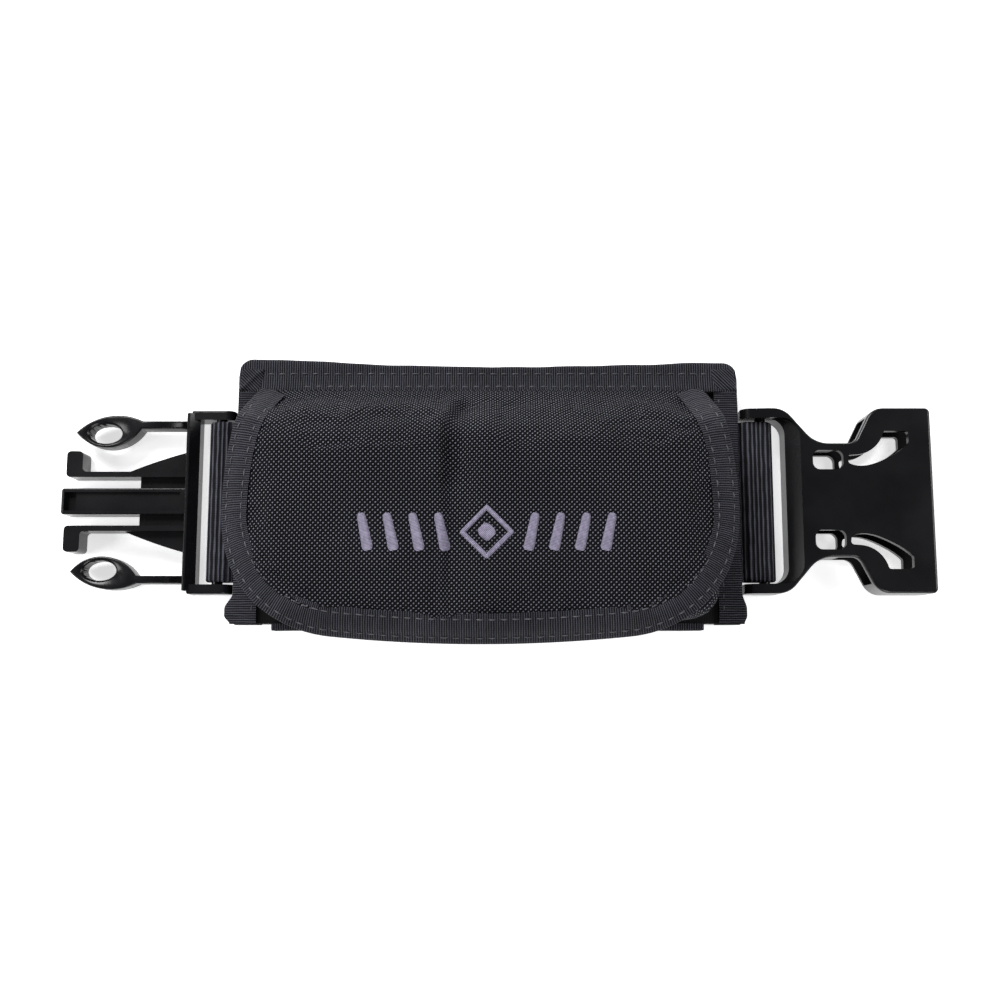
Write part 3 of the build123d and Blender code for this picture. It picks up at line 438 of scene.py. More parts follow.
def lattice(name, columns, rows, place):
    """A grid primitive whose points are moved to place(s, t), with s and t from 0 to 1.

    place gives the point and its (u, v) on the cloth, all in millimetres."""
    clear_selection()
    bpy.ops.mesh.primitive_grid_add(x_subdivisions=columns, y_subdivisions=rows, size=1, location=(0, 0, 0))
    piece = bpy.context.object
    piece.name = piece.data.name = name
    uv_of = []
    for vertex in piece.data.vertices:
        point, uv = place(vertex.co.x + 0.5, vertex.co.y + 0.5)
        vertex.co = Vector(point) * MM
        uv_of.append((uv[0] * MM, uv[1] * MM))
    layer = piece.data.uv_layers.active or piece.data.uv_layers.new(name="UVMap")
    for loop in piece.data.loops:
        layer.data[loop.index].uv = uv_of[loop.vertex_index]
    piece.data.update()
    return piece


def close_ends(piece):
    """Welds a tube's seam, caps its open ends and turns its faces outward."""
    only(piece)
    bpy.ops.object.mode_set(mode="EDIT")
    bpy.ops.mesh.select_all(action="SELECT")
    bpy.ops.mesh.remove_doubles(threshold=1e-6)
    bpy.ops.mesh.select_all(action="DESELECT")
    bpy.ops.mesh.select_non_manifold(extend=False)
    bpy.ops.mesh.edge_face_add()
    bpy.ops.mesh.select_all(action="SELECT")
    bpy.ops.mesh.normals_make_consistent(inside=False)
    bpy.ops.object.mode_set(mode="OBJECT")
    return piece


def shell(name, columns, rows, path, section):
    """A closed section carried along a path: path(s) gives origin, sideways, up and the length so far;
    section(s) gives the section's closed loop of (sideways, up) points."""
    loops = {}

    def place(s, t):
        key = round(s * columns)
        if key not in loops:
            points = section(s)
            steps = [hypot(b[0] - a[0], b[1] - a[1]) for a, b in zip(points, points[1:] + points[:1])]
            loops[key] = (points, steps, path(s))
        points, steps, (origin, side, up, length) = loops[key]
        index = round(t * rows) % len(points)
        v = sum(steps[:round(t * rows)])
        a, b = points[index]
        return origin + side * a + up * b, (length, v)

    return close_ends(lattice(name, columns, rows, place))


def along_x(low, high):
    """A shell path that runs straight along X."""
    def path(s):
        x = low + (high - low) * s
        return Vector((x, 0, 0)), Vector((0, 1, 0)), Vector((0, 0, 1)), x

    return path


def smooth(piece, angle=50):
    only(piece)
    bpy.ops.object.shade_smooth_by_angle(angle=radians(angle))


def finish(piece, body, material, slot, *nodes):
    """Gives a finished piece its material and body, and hides the CAD nodes it stands for. The slot argument
    is not used.
    """
    refinish(piece, material)
    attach(piece, body)
    if nodes:
        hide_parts(*nodes)
    return piece


def refinish(piece, material):
    piece.data.materials.clear()
    piece.data.materials.append(material)


def join(name, pieces):
    clear_selection()
    for piece in pieces:
        piece.select_set(True)
    bpy.context.view_layer.objects.active = pieces[0]
    bpy.ops.object.join()
    pieces[0].name = pieces[0].data.name = name
    return pieces[0]


def one_stitch():
    """A single stitch: a slim rounded bar of thread whose ends dip into the cloth."""
    clear_selection()
    bpy.ops.mesh.primitive_uv_sphere_add(segments=8, ring_count=6, radius=0.5, rotation=(0, pi / 2, 0))
    bpy.ops.object.transform_apply(rotation=True)
    piece = bpy.context.object
    length, width, height = settings().stitch_pitch * 0.66, 0.5, 0.42
    for vertex in piece.data.vertices:
        x, y, z = vertex.co
        vertex.co = Vector((x * length, y * width, z * height - 0.9 * x * x)) * MM
    return piece


def stitching(name, spots):
    """Copies the stitch to each spot: a point, the sewing direction and the cloth's normal."""
    model = one_stitch()
    gathered = bmesh.new()
    for point, along, normal in spots:
        side = normal.cross(along).normalized()
        along = side.cross(normal).normalized()
        turn = Matrix((along, side, normal.normalized())).transposed().to_4x4()
        mesh = model.data.copy()
        mesh.transform(Matrix.Translation(point * MM) @ turn)
        gathered.from_mesh(mesh)
        bpy.data.meshes.remove(mesh)
    clear_selection()
    model.select_set(True)
    bpy.context.view_layer.objects.active = model
    gathered.to_mesh(model.data)
    gathered.free()
    model.name = model.data.name = name
    for polygon in model.data.polygons:
        polygon.use_smooth = True
    return model


def straight_row(start, end, normal):
    """Stitch spots along a straight seam."""
    run = end - start
    count = max(1, round(run.length / settings().stitch_pitch))
    along = run.normalized()
    spots = []
    for number in range(count):
        waver = noise.noise(start * 0.31 + along * number * 1.7) * 0.12
        point = start + run * ((number + 0.5) / count) + normal.cross(along) * waver
        spots.append((point, along + normal.cross(along) * waver * 0.6, normal))
    return spots


def ease(share):
    """A smooth step from 0 to 1."""
    share = max(0.0, min(1.0, share))
    return share * share * (3 - 2 * share)


def smooth_min(values, blend):
    """The least of several heights, rounded over where two meet."""
    low = min(values)
    return low - blend * 0.25 * sum(max(0.0, 1 - (v - low) / blend) ** 2 for v in values) + blend * 0.25


# ---------------------------------------------------------------- the flap's surface

FLAP_CORNER = 36.0
FLAP_WIDEST_Y = -6.0
FLAP_TOP_INSET = 8.0
FLAP_THICK = 2.0
TAPE_THICK = 0.6
SHOULDER_RUN = 15.0
SIDE_DROOP = (7.0, 9.5)
BOTTOM_DROOP = (8.0, 7.5)
FLAP_MID_X = (FLAP[0].x + FLAP[1].x) / 2
FLAP_HALF = (FLAP[1].x - FLAP[0].x) / 2
FLAP_LOW_Y = FLAP[0].y
FLAP_TOP_Z = FLAP[1].z
VALLEY_X = -7.5
SEAM_INSET = 1.6  # from a straight tape's edge to its row of stitches
FLAP_SEAM_INSET = 1.7


def flap_edge_arcs():
    """The flap's outline from its left root to its right root, as (centre, radius, start, end) arcs."""
    corner_x = FLAP_HALF - FLAP_CORNER
    drop = FLAP_WIDEST_Y - FLAP_CORNER - FLAP_LOW_Y
    bottom_r = FLAP_CORNER + (corner_x**2 + drop**2) / (2 * drop)
    bottom_y = FLAP_LOW_Y + bottom_r
    rise = HINGE.y - FLAP_WIDEST_Y
    side_r = (rise**2 + FLAP_TOP_INSET**2) / (2 * FLAP_TOP_INSET)
    turn = atan2(bottom_y - FLAP_WIDEST_Y, corner_x)
    reach = atan2(rise, side_r - FLAP_TOP_INSET)
    side_x = FLAP_HALF - side_r
    return [
        ((-side_x, FLAP_WIDEST_Y), side_r, pi - reach, pi),
        ((-corner_x, FLAP_WIDEST_Y), FLAP_CORNER, pi, pi + turn),
        ((0.0, bottom_y), bottom_r, pi + turn, 2 * pi - turn),
        ((corner_x, FLAP_WIDEST_Y), FLAP_CORNER, 2 * pi - turn, 2 * pi),
        ((side_x, FLAP_WIDEST_Y), side_r, 0.0, reach),
    ]


EDGE_ARCS = flap_edge_arcs()
EDGE_LENGTH = sum(radius * (end - start) for _, radius, start, end in EDGE_ARCS)


def flap_edge(length, inset):
    """A point on the flap's outline moved inward, in plan."""
    for centre, radius, start, end in EDGE_ARCS:
        run = radius * (end - start)
        if length <= run or centre is EDGE_ARCS[-1][0]:
            angle = start + length / radius
            x = centre[0] + (radius - inset) * cos(angle) + FLAP_MID_X
            y = centre[1] + (radius - inset) * sin(angle)
            return x, y
        length -= run


def crown(x, y):
    """Height of the flap's outer face: a stuffed top that falls to the fold, the bottom and both sides."""
    top = FLAP_TOP_Z
    mid_top = top - FLAP_THICK / 2
    slope = (mid_top - HINGE.z) / SHOULDER_RUN
    past_fold = max(0.0, y - HINGE.y)
    root = HINGE.z + (HINGE.y - y) * slope + FLAP_THICK / 2 * hypot(1, slope) - 1.6 * past_fold
    bottom_start = FLAP_LOW_Y + BOTTOM_DROOP[1]
    bottom = top + (y - bottom_start) * BOTTOM_DROOP[0] / BOTTOM_DROOP[1]
    side_start = FLAP_HALF - SIDE_DROOP[1]
    side = top - (abs(x - FLAP_MID_X) - side_start) * SIDE_DROOP[0] / SIDE_DROOP[1]
    return smooth_min([top, root, bottom, side], 5.0)


def soft_dents(x, y):
    """What the loose fabric adds to the crown: a full belly over each weight, the valley between them and a
    few shallow folds that run out of it."""
    inside = ease((FLAP_HALF - abs(x - FLAP_MID_X) - 4) / 22) * ease((y - FLAP_LOW_Y - 4) / 20)
    inside *= ease((HINGE.y - 2 - y) / 6)
    valley_x = VALLEY_X - 2.6 * ease((31 - y) / 16)
    valley = exp(-((x - valley_x) / (2.3 + 1.6 * ease((8 - y) / 12))) ** 2)
    depth = settings().valley_depth * (0.04 + 0.32 * ease((y + 3) / 7) + 0.48 * ease((y - 18) / 8))
    # The fold's left wall is steep and its right wall gentle, under a raised lip that fades sideways.
    aside = x - valley_x - 1.2
    wall = exp(-(aside / 3.4) ** 4) if aside < 0 else exp(-(aside / 7) ** 2)
    lip = 1.4 + 1.5 * exp(-(aside / 16) ** 2) * ease((y + 4) / 10)
    belly = lip * (1 - wall) * ease((31 - y) / 8)
    second_x = valley_x + 9 + 0.55 * (HINGE.y - y)
    second = exp(-((x - second_x) / 4.5) ** 2) * ease((y - 2) / 16)
    crumple = 0.5 * noise.noise(Vector((x * 0.05, y * 0.07, 1.7)))
    crumple += 0.2 * noise.noise(Vector((x, y, 9)) * 0.16)
    return (belly - depth * valley - 0.8 * second + crumple) * inside


def skin(x, y, lift=0.0, height=crown):
    """A point on the flap's outer face, or that far out along its normal, with the normal."""
    step = 0.4
    z = height(x, y)
    normal = Vector((
        -(height(x + step, y) - height(x - step, y)) / (2 * step),
        -(height(x, y + step) - height(x, y - step)) / (2 * step),
        1.0,
    )).normalized()
    return Vector((x, y, z)) + normal * lift, normal


def arc_table(height_along, low, high, step=0.5):
    """Length along a profile at equal steps, so that a weave keeps its size over slopes."""
    lengths, total = [0.0], 0.0
    count = int((high - low) / step) + 1
    for number in range(count):
        a = height_along(low + number * step)
        b = height_along(low + (number + 1) * step)
        total += hypot(step, b - a)
        lengths.append(total)
    return lambda value: lengths[max(0, min(count, round((value - low) / step)))] + (
        value - low - step * round((value - low) / step)
    )


def column_limits(x, inset):
    """Where a line of constant x meets the flap's outline, moved inward: its lowest and highest y."""
    arcs = EDGE_ARCS
    local = abs(x - FLAP_MID_X)
    (_, bottom_y), bottom_r = arcs[2][0], arcs[2][1]
    (corner_x, corner_y), corner_r = arcs[3][0], arcs[3][1]
    (side_x, side_y), side_r = arcs[4][0], arcs[4][1]
    turn_x = (bottom_r - inset) * sin(atan2(corner_x, bottom_y - corner_y))
    if local < turn_x:
        low = bottom_y - sqrt((bottom_r - inset) ** 2 - local**2)
    else:
        low = corner_y - sqrt(max(0.0, (corner_r - inset) ** 2 - (local - corner_x) ** 2))
    reach = (side_r - inset) ** 2 - (local - side_x) ** 2
    high = min(HINGE.y, side_y + sqrt(max(0.0, reach)))
    return low, high


def inside_flap(x, y, inset):
    """Whether a point in plan lies inside the flap's outline, moved inward."""
    if abs(x - FLAP_MID_X) >= FLAP_HALF - inset or y > HINGE.y - inset / 2:
        return False
    low, high = column_limits(x, inset)
    return low < y < high


def flap_lattice(name, columns, rows, inset, lift, height):
    """A sheet over the whole flap inside its outline, with its weave laid square to the belt."""
    half = FLAP_HALF - inset
    length_y = arc_table(lambda v: height(FLAP_MID_X + 30, v), FLAP_LOW_Y - 2, HINGE.y + 2)
    length_x = arc_table(lambda v: height(v, 0.0), FLAP_MID_X - FLAP_HALF - 2, FLAP_MID_X + FLAP_HALF + 2)

    def place(s, t):
        local = half * sin((s - 0.5) * pi * 0.999) * 0.25 + half * (2 * s - 1) * 0.75
        x = FLAP_MID_X + local
        low, high = column_limits(x, inset)
        y = low + (high - low) * t
        point, _ = skin(x, y, lift, height)
        return point, (length_x(x), length_y(y))

    return lattice(name, columns, rows, place)


# ---------------------------------------------------------------- pieces


class BELT_OT_stage(bpy.types.Operator):
    """Pale floor, soft studio lights and the camera"""

    bl_idname = "belt.stage"
    bl_label = "Stage"

    def execute(self, context):
        clear_selection()
        bpy.ops.mesh.primitive_plane_add(size=6, location=(0, 0, -0.0004))
        floor_piece = context.object
        floor_piece.name = "studio_floor"
        floor_piece.data.materials.append(pale_studio_floor())

        world = bpy.data.worlds.new("studio_air")
        world.use_nodes = True
        world.node_tree.nodes["Background"].inputs[0].default_value = (0.92, 0.94, 1.0, 1)
        world.node_tree.nodes["Background"].inputs[1].default_value = 0.06
        context.scene.world = world
        for name, place, size, power in (
            ("key_softbox", (-0.35, 0.62, 0.62), 0.45, 9.6),
            ("left_softbox", (-0.8, -0.15, 0.5), 0.4, 3.8),
            ("right_softbox", (0.8, 0.1, 0.55), 0.4, 3.6),
            ("front_softbox", (0.15, -0.8, 0.55), 0.4, 3.5),
        ):
            bpy.ops.object.light_add(type="AREA", location=place)
            light = context.object
            light.name = name
            light.data.size = size
            light.data.energy = power
            light.rotation_euler = (-Vector(place)).to_track_quat("-Z", "Y").to_euler()

        distance, tilt = 0.375, radians(8)
        target = Vector((0.0038, 0.0007, 0.006))
        camera = bpy.data.objects.new("camera", bpy.data.cameras.new("camera"))
        context.scene.collection.objects.link(camera)
        camera.location = target + Vector((0, -sin(tilt), cos(tilt))) * distance
        camera.rotation_euler = (tilt, 0, 0)
        camera.data.sensor_width = 36
        camera.data.lens = 43.2
        context.scene.camera = camera
        context.scene.view_settings.view_transform = "Standard"
        return {"FINISHED"}


class BELT_OT_buckle(bpy.types.Operator):
    """Moulded finish for the plug and socket, and spring arms copied from the CAD arms, their root ends
    pushed a little along X
    """

    bl_idname = "belt.buckle"
    bl_label = "Buckle"

    def execute(self, context):
        for name in ("plug_frame", "socket_shell"):
            refinish(frame["nodes"][name], grained_black_acetal())
        for name, joint in (("upper", "arm_upper_squeeze"), ("lower", "arm_lower_squeeze")):
            node = f"plug_arm_{name}"
            arm = bpy.data.objects.new(f"spring_arm_{name}", frame["nodes"][node].data.copy())
            context.scene.collection.objects.link(arm)
            only(arm)
            bpy.ops.object.mode_set(mode="EDIT")
            bpy.ops.mesh.select_all(action="SELECT")
            bpy.ops.mesh.remove_doubles(threshold=1e-6)
            bpy.ops.object.mode_set(mode="OBJECT")
            root = Vector(JOINTS[joint]["pos_m"])
            sink = 0.8 * MM
            for vertex in arm.data.vertices:
                if vertex.co.x > root.x - 0.7 * MM:
                    vertex.co.x += sink
            refinish(arm, grained_black_acetal())
            smooth(arm, 35)
            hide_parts(node)
            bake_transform(arm)
        return {"FINISHED"}


def web_route():
    """The webbing's centre line as points: tail, loop, run, loop and tail."""
    half_gap = (WEB[1].z - WEB[0].z) / 2
    thick = 1.8
    radius = half_gap - thick / 2
    z_mid = PLUG_BAR.z
    ply_offset = 0.95
    tail_z, main_z = z_mid - ply_offset, z_mid + ply_offset
    near, far = HALF + 1.0, HALF + 3.6
    tail_end = 34.0

    def ply(x, flat, loop):
        return flat + (loop - flat) * ease((abs(x) - near) / (far - near))

    points = []
    rear, front = (tail_z, z_mid - radius), (main_z, z_mid + radius)

    def stretch(start, count, end, levels, last=0):
        for number in range(count + last):
            x = start + (end - start) * number / count
            points.append((x, ply(x, *levels)))

    def turn(bar_x, first):
        for number in range(40):
            angle = first - pi * number / 40
            points.append((bar_x + radius * cos(angle), z_mid + radius * sin(angle)))

    stretch(-tail_end, 30, -HALF, rear)
    stretch(-HALF, 24, PLUG_BAR.x, rear)
    turn(PLUG_BAR.x, -pi / 2)
    stretch(PLUG_BAR.x, 24, -HALF, front)
    stretch(-HALF, 60, HALF, front)
    stretch(HALF, 26, SOCKET_BAR.x, front)
    turn(SOCKET_BAR.x, pi / 2)
    stretch(SOCKET_BAR.x, 26, HALF, rear)
    stretch(HALF, 30, tail_end, rear, last=1)
    return points


class BELT_OT_webbing(bpy.types.Operator):
    """The belt's webbing, ribbed, looped round both buckle bars and folded back"""

    bl_idname = "belt.webbing"
    bl_label = "Webbing"

    def execute(self, context):
        route = web_route()
        lengths = [0.0]
        for a, b in zip(route, route[1:]):
            lengths.append(lengths[-1] + hypot(b[0] - a[0], b[1] - a[1]))
        total = lengths[-1]
        rib = settings().web_rib
        columns = int(total / rib * 4)
        width = WEB[1].y - WEB[0].y
        half, thick = width / 2, 0.85
        across = 22
        top = [(-half + 0.5 + (width - 1) * n / across) for n in range(across + 1)]

        def at(length):
            low, high = 0, len(lengths) - 1
            while high - low > 1:
                middle = (low + high) // 2
                low, high = (middle, high) if lengths[middle] <= length else (low, middle)
            share = (length - lengths[low]) / max(1e-9, lengths[high] - lengths[low])
            return Vector(route[low]).lerp(Vector(route[high]), share)

        def path(s):
            length = s * total
            here = at(length)
            heading = (at(min(total, length + 0.4)) - at(max(0.0, length - 0.4))).normalized()
            origin = Vector((here.x, 0, here.y))
            up = Vector((-heading.y, 0, heading.x))
            return origin, Vector((0, -1, 0)), up, length

        def section(s):
            wave = 0.07 * cos(2 * pi * s * total / rib)
            upper = [(y, thick - 0.03 + wave) for y in top]
            lower = [(y, -thick + 0.03 - wave) for y in reversed(top)]
            return upper + [(half, 0.45), (half + 0.02, 0.0), (half, -0.45)] + lower + [
                (-half, -0.45), (-half - 0.02, 0.0), (-half, 0.45)]

        strap = shell("belt_strap", columns, 2 * (across + 1) + 6, path, section)
        smooth(strap, 60)
        finish(strap, "pocket", ribbed_nylon_webbing(), "nylon_webbing", "belt_webbing")
        return {"FINISHED"}


def drape_section(front, back, leg, wall):
    """The C-shaped section of a tape folded over an edge at 0, with both its faces."""
    outer = [(-leg, front), (-leg * 0.66, front + 0.04), (-leg * 0.33, front + 0.03), (-0.5, front),
             (wall * 0.7, front - 0.25), (wall, front - 0.9), (wall, (front + back) / 2), (wall, back + 0.9),
             (wall * 0.7, back + 0.25), (-0.5, back), (-leg * 0.33, back), (-leg * 0.66, back), (-leg, back)]
    inner = [(-leg, back + 0.5), (-0.4, back + 0.55), (0.05, back + 1.1), (0.05, front - 1.1),
             (-0.4, front - 0.55), (-leg, front - 0.5)]
    return outer + inner


# How far each side tape spreads outward at its foot, and where that starts.
FOOT_SPREAD = {-1: 2.4, 1: 1.2}
SPREAD_Y = -28.5


class BELT_OT_side_tapes(bpy.types.Operator):
    """Binding tapes folded over both sides of the back and of the pouch"""

    bl_idname = "belt.side_tapes"
    bl_label = "Side tapes"

    def execute(self, context):
        low_y, high_y = SIDE_TAPE[0].y, SIDE_TAPE[1].y
        leg = SIDE_TAPE[1].x - SIDE_TAPE[0].x - TAPE_THICK
        run = high_y - low_y
        columns = 150
        for side, word in ((-1, "left"), (1, "right")):
            for kind, box in (("side", SIDE_TAPE), ("back", BACK_TAPE)):
                seed = side * 3.1 + (7.7 if kind == "back" else 0.0)

                def path(s, side=side, seed=seed):
                    y = low_y + run * s
                    pucker = 0.12 * noise.noise(Vector((y * 0.16, seed, 0)))
                    origin = Vector((side * (HALF + pucker), y, 0))
                    return origin, Vector((side, 0, 0)), Vector((0, 0, 1)), y

                def section(s, box=box, seed=seed, side=side):
                    y = low_y + run * s
                    rejoin = 1 - 0.7 * ease((low_y + 2.5 - y) / 2.5)
                    flare = FOOT_SPREAD[side] * ease((SPREAD_Y - y) / 5) * rejoin
                    pull = 0.06 * cos(2 * pi * y / settings().stitch_pitch)
                    waver = 0.2 * noise.noise(Vector((y * 0.3, seed, 2)))
                    front = box[1].z - 0.05
                    back = max(box[0].z, 0.02)
                    loop = drape_section(front, back, leg, TAPE_THICK)
                    seam = leg - SEAM_INSET
                    shaped = []
                    for a, b in loop:
                        if b > front - 0.2 and a < 0:
                            b += -0.12 * exp(-((a + seam) / 0.8) ** 2) + pull * (a < -leg * 0.5)
                            b += 0.05 * waver
                        if a <= -leg + 0.01:
                            a += 0.35 * waver + 0.15
                        shaped.append((a + flare * ease((a + leg) / leg), b))
                    return shaped

                tape = shell(f"{kind}_tape_{word}", columns, 19, path, section)
                smooth(tape, 60)
                finish(tape, "pocket", ribbed_binding_tape(), "binding_tape", f"{kind}_binding_{word}")
        return {"FINISHED"}


class BELT_OT_top_band(bpy.types.Operator):
    """The band that wraps the top edge, with its tucked corners"""

    bl_idname = "belt.top_band"
    bl_label = "Top band"

    def execute(self, context):
        low_y, high_y = BAND[0].y, BAND[1].y
        front, back = BAND[1].z, max(BAND[0].z, 0.02)
        half = BAND[1].x
        corner = 4.6
        columns = 300

        def top_edge(x):
            lift = 0.6 + 1.7 * ease((-x - 30) / 42) + 0.6 * ease((x - 45) / 25)
            sag = 0.7 * (0.5 + 0.5 * cos(pi * max(-1.0, min(1.0, (x - 5) / 50))))
            ripple = 0.3 * noise.noise(Vector((x * 0.09, 4.2, 0)))
            beyond = max(0.0, abs(x) - (half - corner))
            drop = corner - sqrt(max(0.0, corner**2 - beyond**2))
            return high_y + lift - sag + ripple * (1 - beyond / corner) - drop

        def section(s):
            x = -half + 2 * half * s
            edge = top_edge(x)
            inner = low_y + 0.15 * noise.noise(Vector((x * 0.2, 9, 0)))
            side_round = max(0.0, abs(x) - (half - 1.2)) / 1.2
            squeeze = 0.9 * (1 - sqrt(max(0.0, 1 - side_round**2)))
            f, b = front - squeeze, back + squeeze
            pull = 0.05 * cos(2 * pi * x / settings().stitch_pitch)
            rows = []
            steps = 12
            for n in range(steps + 1):
                y = inner + (edge - 0.7 - inner) * n / steps
                seam = exp(-((y - low_y - 1.6) / 0.7) ** 2) + exp(-((y - high_y + 2.6) / 0.7) ** 2)
                puff = 0.25 * noise.noise(Vector((x * 0.12, y * 0.3, 5)))
                root = 0.9 * exp(-((y - low_y - 0.6) / 1.8) ** 2) * ease((FLAP_HALF - abs(x)) / 8)
                rows.append((y, f - 0.1 - (0.16 - pull) * seam + puff * 0.5 + root))
            loop = rows + [(edge - 0.15, f - 0.5), (edge, f - 1.4), (edge, (f + b) / 2), (edge, b + 1.4),
                           (edge - 0.15, b + 0.5)]
            loop += [(y, b) for y, _ in reversed(rows)]
            return loop

        band = shell("edge_band_top", columns, 31, along_x(-half, half), section)
        smooth(band, 60)
        finish(band, "pocket", ribbed_binding_tape(), "binding_tape", "top_binding")

        tabs = []
        for side in (-1, 1):
            size = 7.2

            def place(s, t, side=side):
                a, b = s - 0.5, t - 0.5
                x = side * (half - 4.2) + a * size * 0.95 - side * b * 1.2
                y = high_y - 4.6 + b * size * 0.98 + a * side * 0.6
                edge = max(abs(a), abs(b)) * 2
                lift = 0.42 * sqrt(max(0.0, 1 - edge**6)) + 0.5 * exp(-((a * side + b * 0.8) / 0.13) ** 2)
                return Vector((x, y, front - 0.15 + lift)), (y * 0.7 + x * 0.7, x * 0.7 - y * 0.7)

            tabs.append(lattice(f"tab_{side}", 20, 20, place))
        tab = join("band_corner_tucks", tabs)
        add_modifier(tab, "SOLIDIFY", thickness=0.5 * MM, offset=-1)
        smooth(tab, 60)
        finish(tab, "pocket", ribbed_binding_tape(), "binding_tape")
        return {"FINISHED"}


class BELT_OT_bottom_tape(bpy.types.Operator):
    """The folded tape along the bottom seam, cut square at both ends"""

    bl_idname = "belt.bottom_tape"
    bl_label = "Bottom tape"

    def execute(self, context):
        low, high = BOTTOM_TAPE
        run = high.x - low.x

        def section(s):
            x = low.x + run * s
            waver = 0.15 * noise.noise(Vector((x * 0.08, 3, 3)))
            loop = []
            rows = 9
            edge = low.y + 0.1 + waver
            for n in range(rows + 1):
                z = low.z + 0.4 + (high.z - low.z - 0.8) * n / rows
                loop.append((edge + 0.3 * (n % 3 == 1), z))
            front_lip, rear = edge + 0.7, high.y + 0.2
            return loop + [(front_lip, high.z), (rear, high.z), (rear, low.z), (front_lip, low.z)]

        tape = shell("bottom_seam_tape", 180, 14, along_x(low.x, high.x), section)
        smooth(tape, 40)
        finish(tape, "pocket", ribbed_binding_tape(), "binding_tape", "bottom_binding")
        return {"FINISHED"}


class BELT_OT_back(bpy.types.Operator):
    """Back fabric, its foam stiffener and the rear fabric of the pouch"""

    bl_idname = "belt.back"
    bl_label = "Back"

    def execute(self, context):
        low, high = PANEL
        top = BAND[0].y + 1.2

        def back_place(s, t):
            x = low.x + 0.3 + (high.x - low.x - 0.6) * s
            y = low.y + 0.2 + (top - low.y - 0.2) * t
            under_tape = BACK_TAPE[1].x - BACK_TAPE[0].x
            sink = 0.75 * max(0.0, min(1.0, (under_tape + 1.5 - (high.x - abs(x))) / 1.5))
            puff = 0.12 * noise.noise(Vector((x * 0.07, y * 0.07, 8)))
            return Vector((x, y, 0.08 + sink + max(0.0, puff))), (x, y)

        panel = lattice("back_fabric", 120, 64, back_place)
        add_modifier(panel, "SOLIDIFY", thickness=1.0 * MM, offset=-1)
        smooth(panel)
        finish(panel, "pocket", coated_basket_weave_nylon(), "pocket_fabric", "back_panel")

        foam_low = node_box("back_foam")[0]
        slot = WEB[1].y + 0.5
        z_low, z_top, z_strip = 1.5, BACK_TAPE[1].z - 0.9, REAR[0].z - 0.1
        inner = SIDE_TAPE[0].x - 0.3

        def foam_section(s):
            return [(foam_low.y + 0.3, z_low), (top - 0.2, z_low), (top - 0.2, z_strip), (slot, z_strip),
                    (slot, z_top), (-slot, z_top), (-slot, z_strip), (foam_low.y + 0.3, z_strip)]

        foam = shell("foam_stiffener", 60, 8, along_x(-inner, inner), foam_section)
        add_modifier(foam, "BEVEL", width=0.25 * MM, segments=2)
        smooth(foam, 40)
        finish(foam, "pocket", closed_cell_foam(), "foam", "back_foam")

        def rear_place(s, t):
            x = REAR[0].x + 0.3 + (REAR[1].x - REAR[0].x - 0.6) * s
            y = REAR[0].y + 0.2 + (top - REAR[0].y - 0.2) * t
            return Vector((x, y, REAR[0].z + 0.1 + 0.05 * noise.noise(Vector((x, y, 0)) * 0.1))), (x, y)

        rear = lattice("pouch_rear_fabric", 80, 44, rear_place)
        add_modifier(rear, "SOLIDIFY", thickness=0.7 * MM, offset=1)
        smooth(rear)
        finish(rear, "pocket", smooth_lining_nylon(), "pocket_fabric", "pouch_rear")
        return {"FINISHED"}


def relax(piece, pressure, cap, slack=0.0, sewn=()):
    """Settles a mesh as cloth, held at its sewn points, and keeps every point within the cap of its start."""
    before = [vertex.co.copy() for vertex in piece.data.vertices]
    cloth = piece.modifiers.new("Cloth", "CLOTH")
    cloth.settings.quality = 5
    cloth.settings.use_pressure = True
    cloth.settings.uniform_pressure_force = pressure
    cloth.settings.tension_stiffness = 12
    cloth.settings.bending_stiffness = 0.4
    cloth.settings.shrink_min = -slack
    cloth.settings.effector_weights.gravity = 0
    if sewn:
        group = piece.vertex_groups.new(name="sewn")
        group.add(sewn, 1.0, "REPLACE")
        cloth.settings.vertex_group_mass = group.name
    frames = settings().cloth_frames
    cloth.point_cache.frame_start, cloth.point_cache.frame_end = 1, frames
    for number in range(1, frames + 1):
        bpy.context.scene.frame_set(number)
    only(piece)
    bpy.ops.object.modifier_apply(modifier="Cloth")
    bpy.context.scene.frame_set(1)
    piece.vertex_groups.clear()
    for vertex, rest in zip(piece.data.vertices, before):
        move = vertex.co - rest
        vertex.co = rest + move * min(1.0, cap * MM / max(move.length, 1e-9))


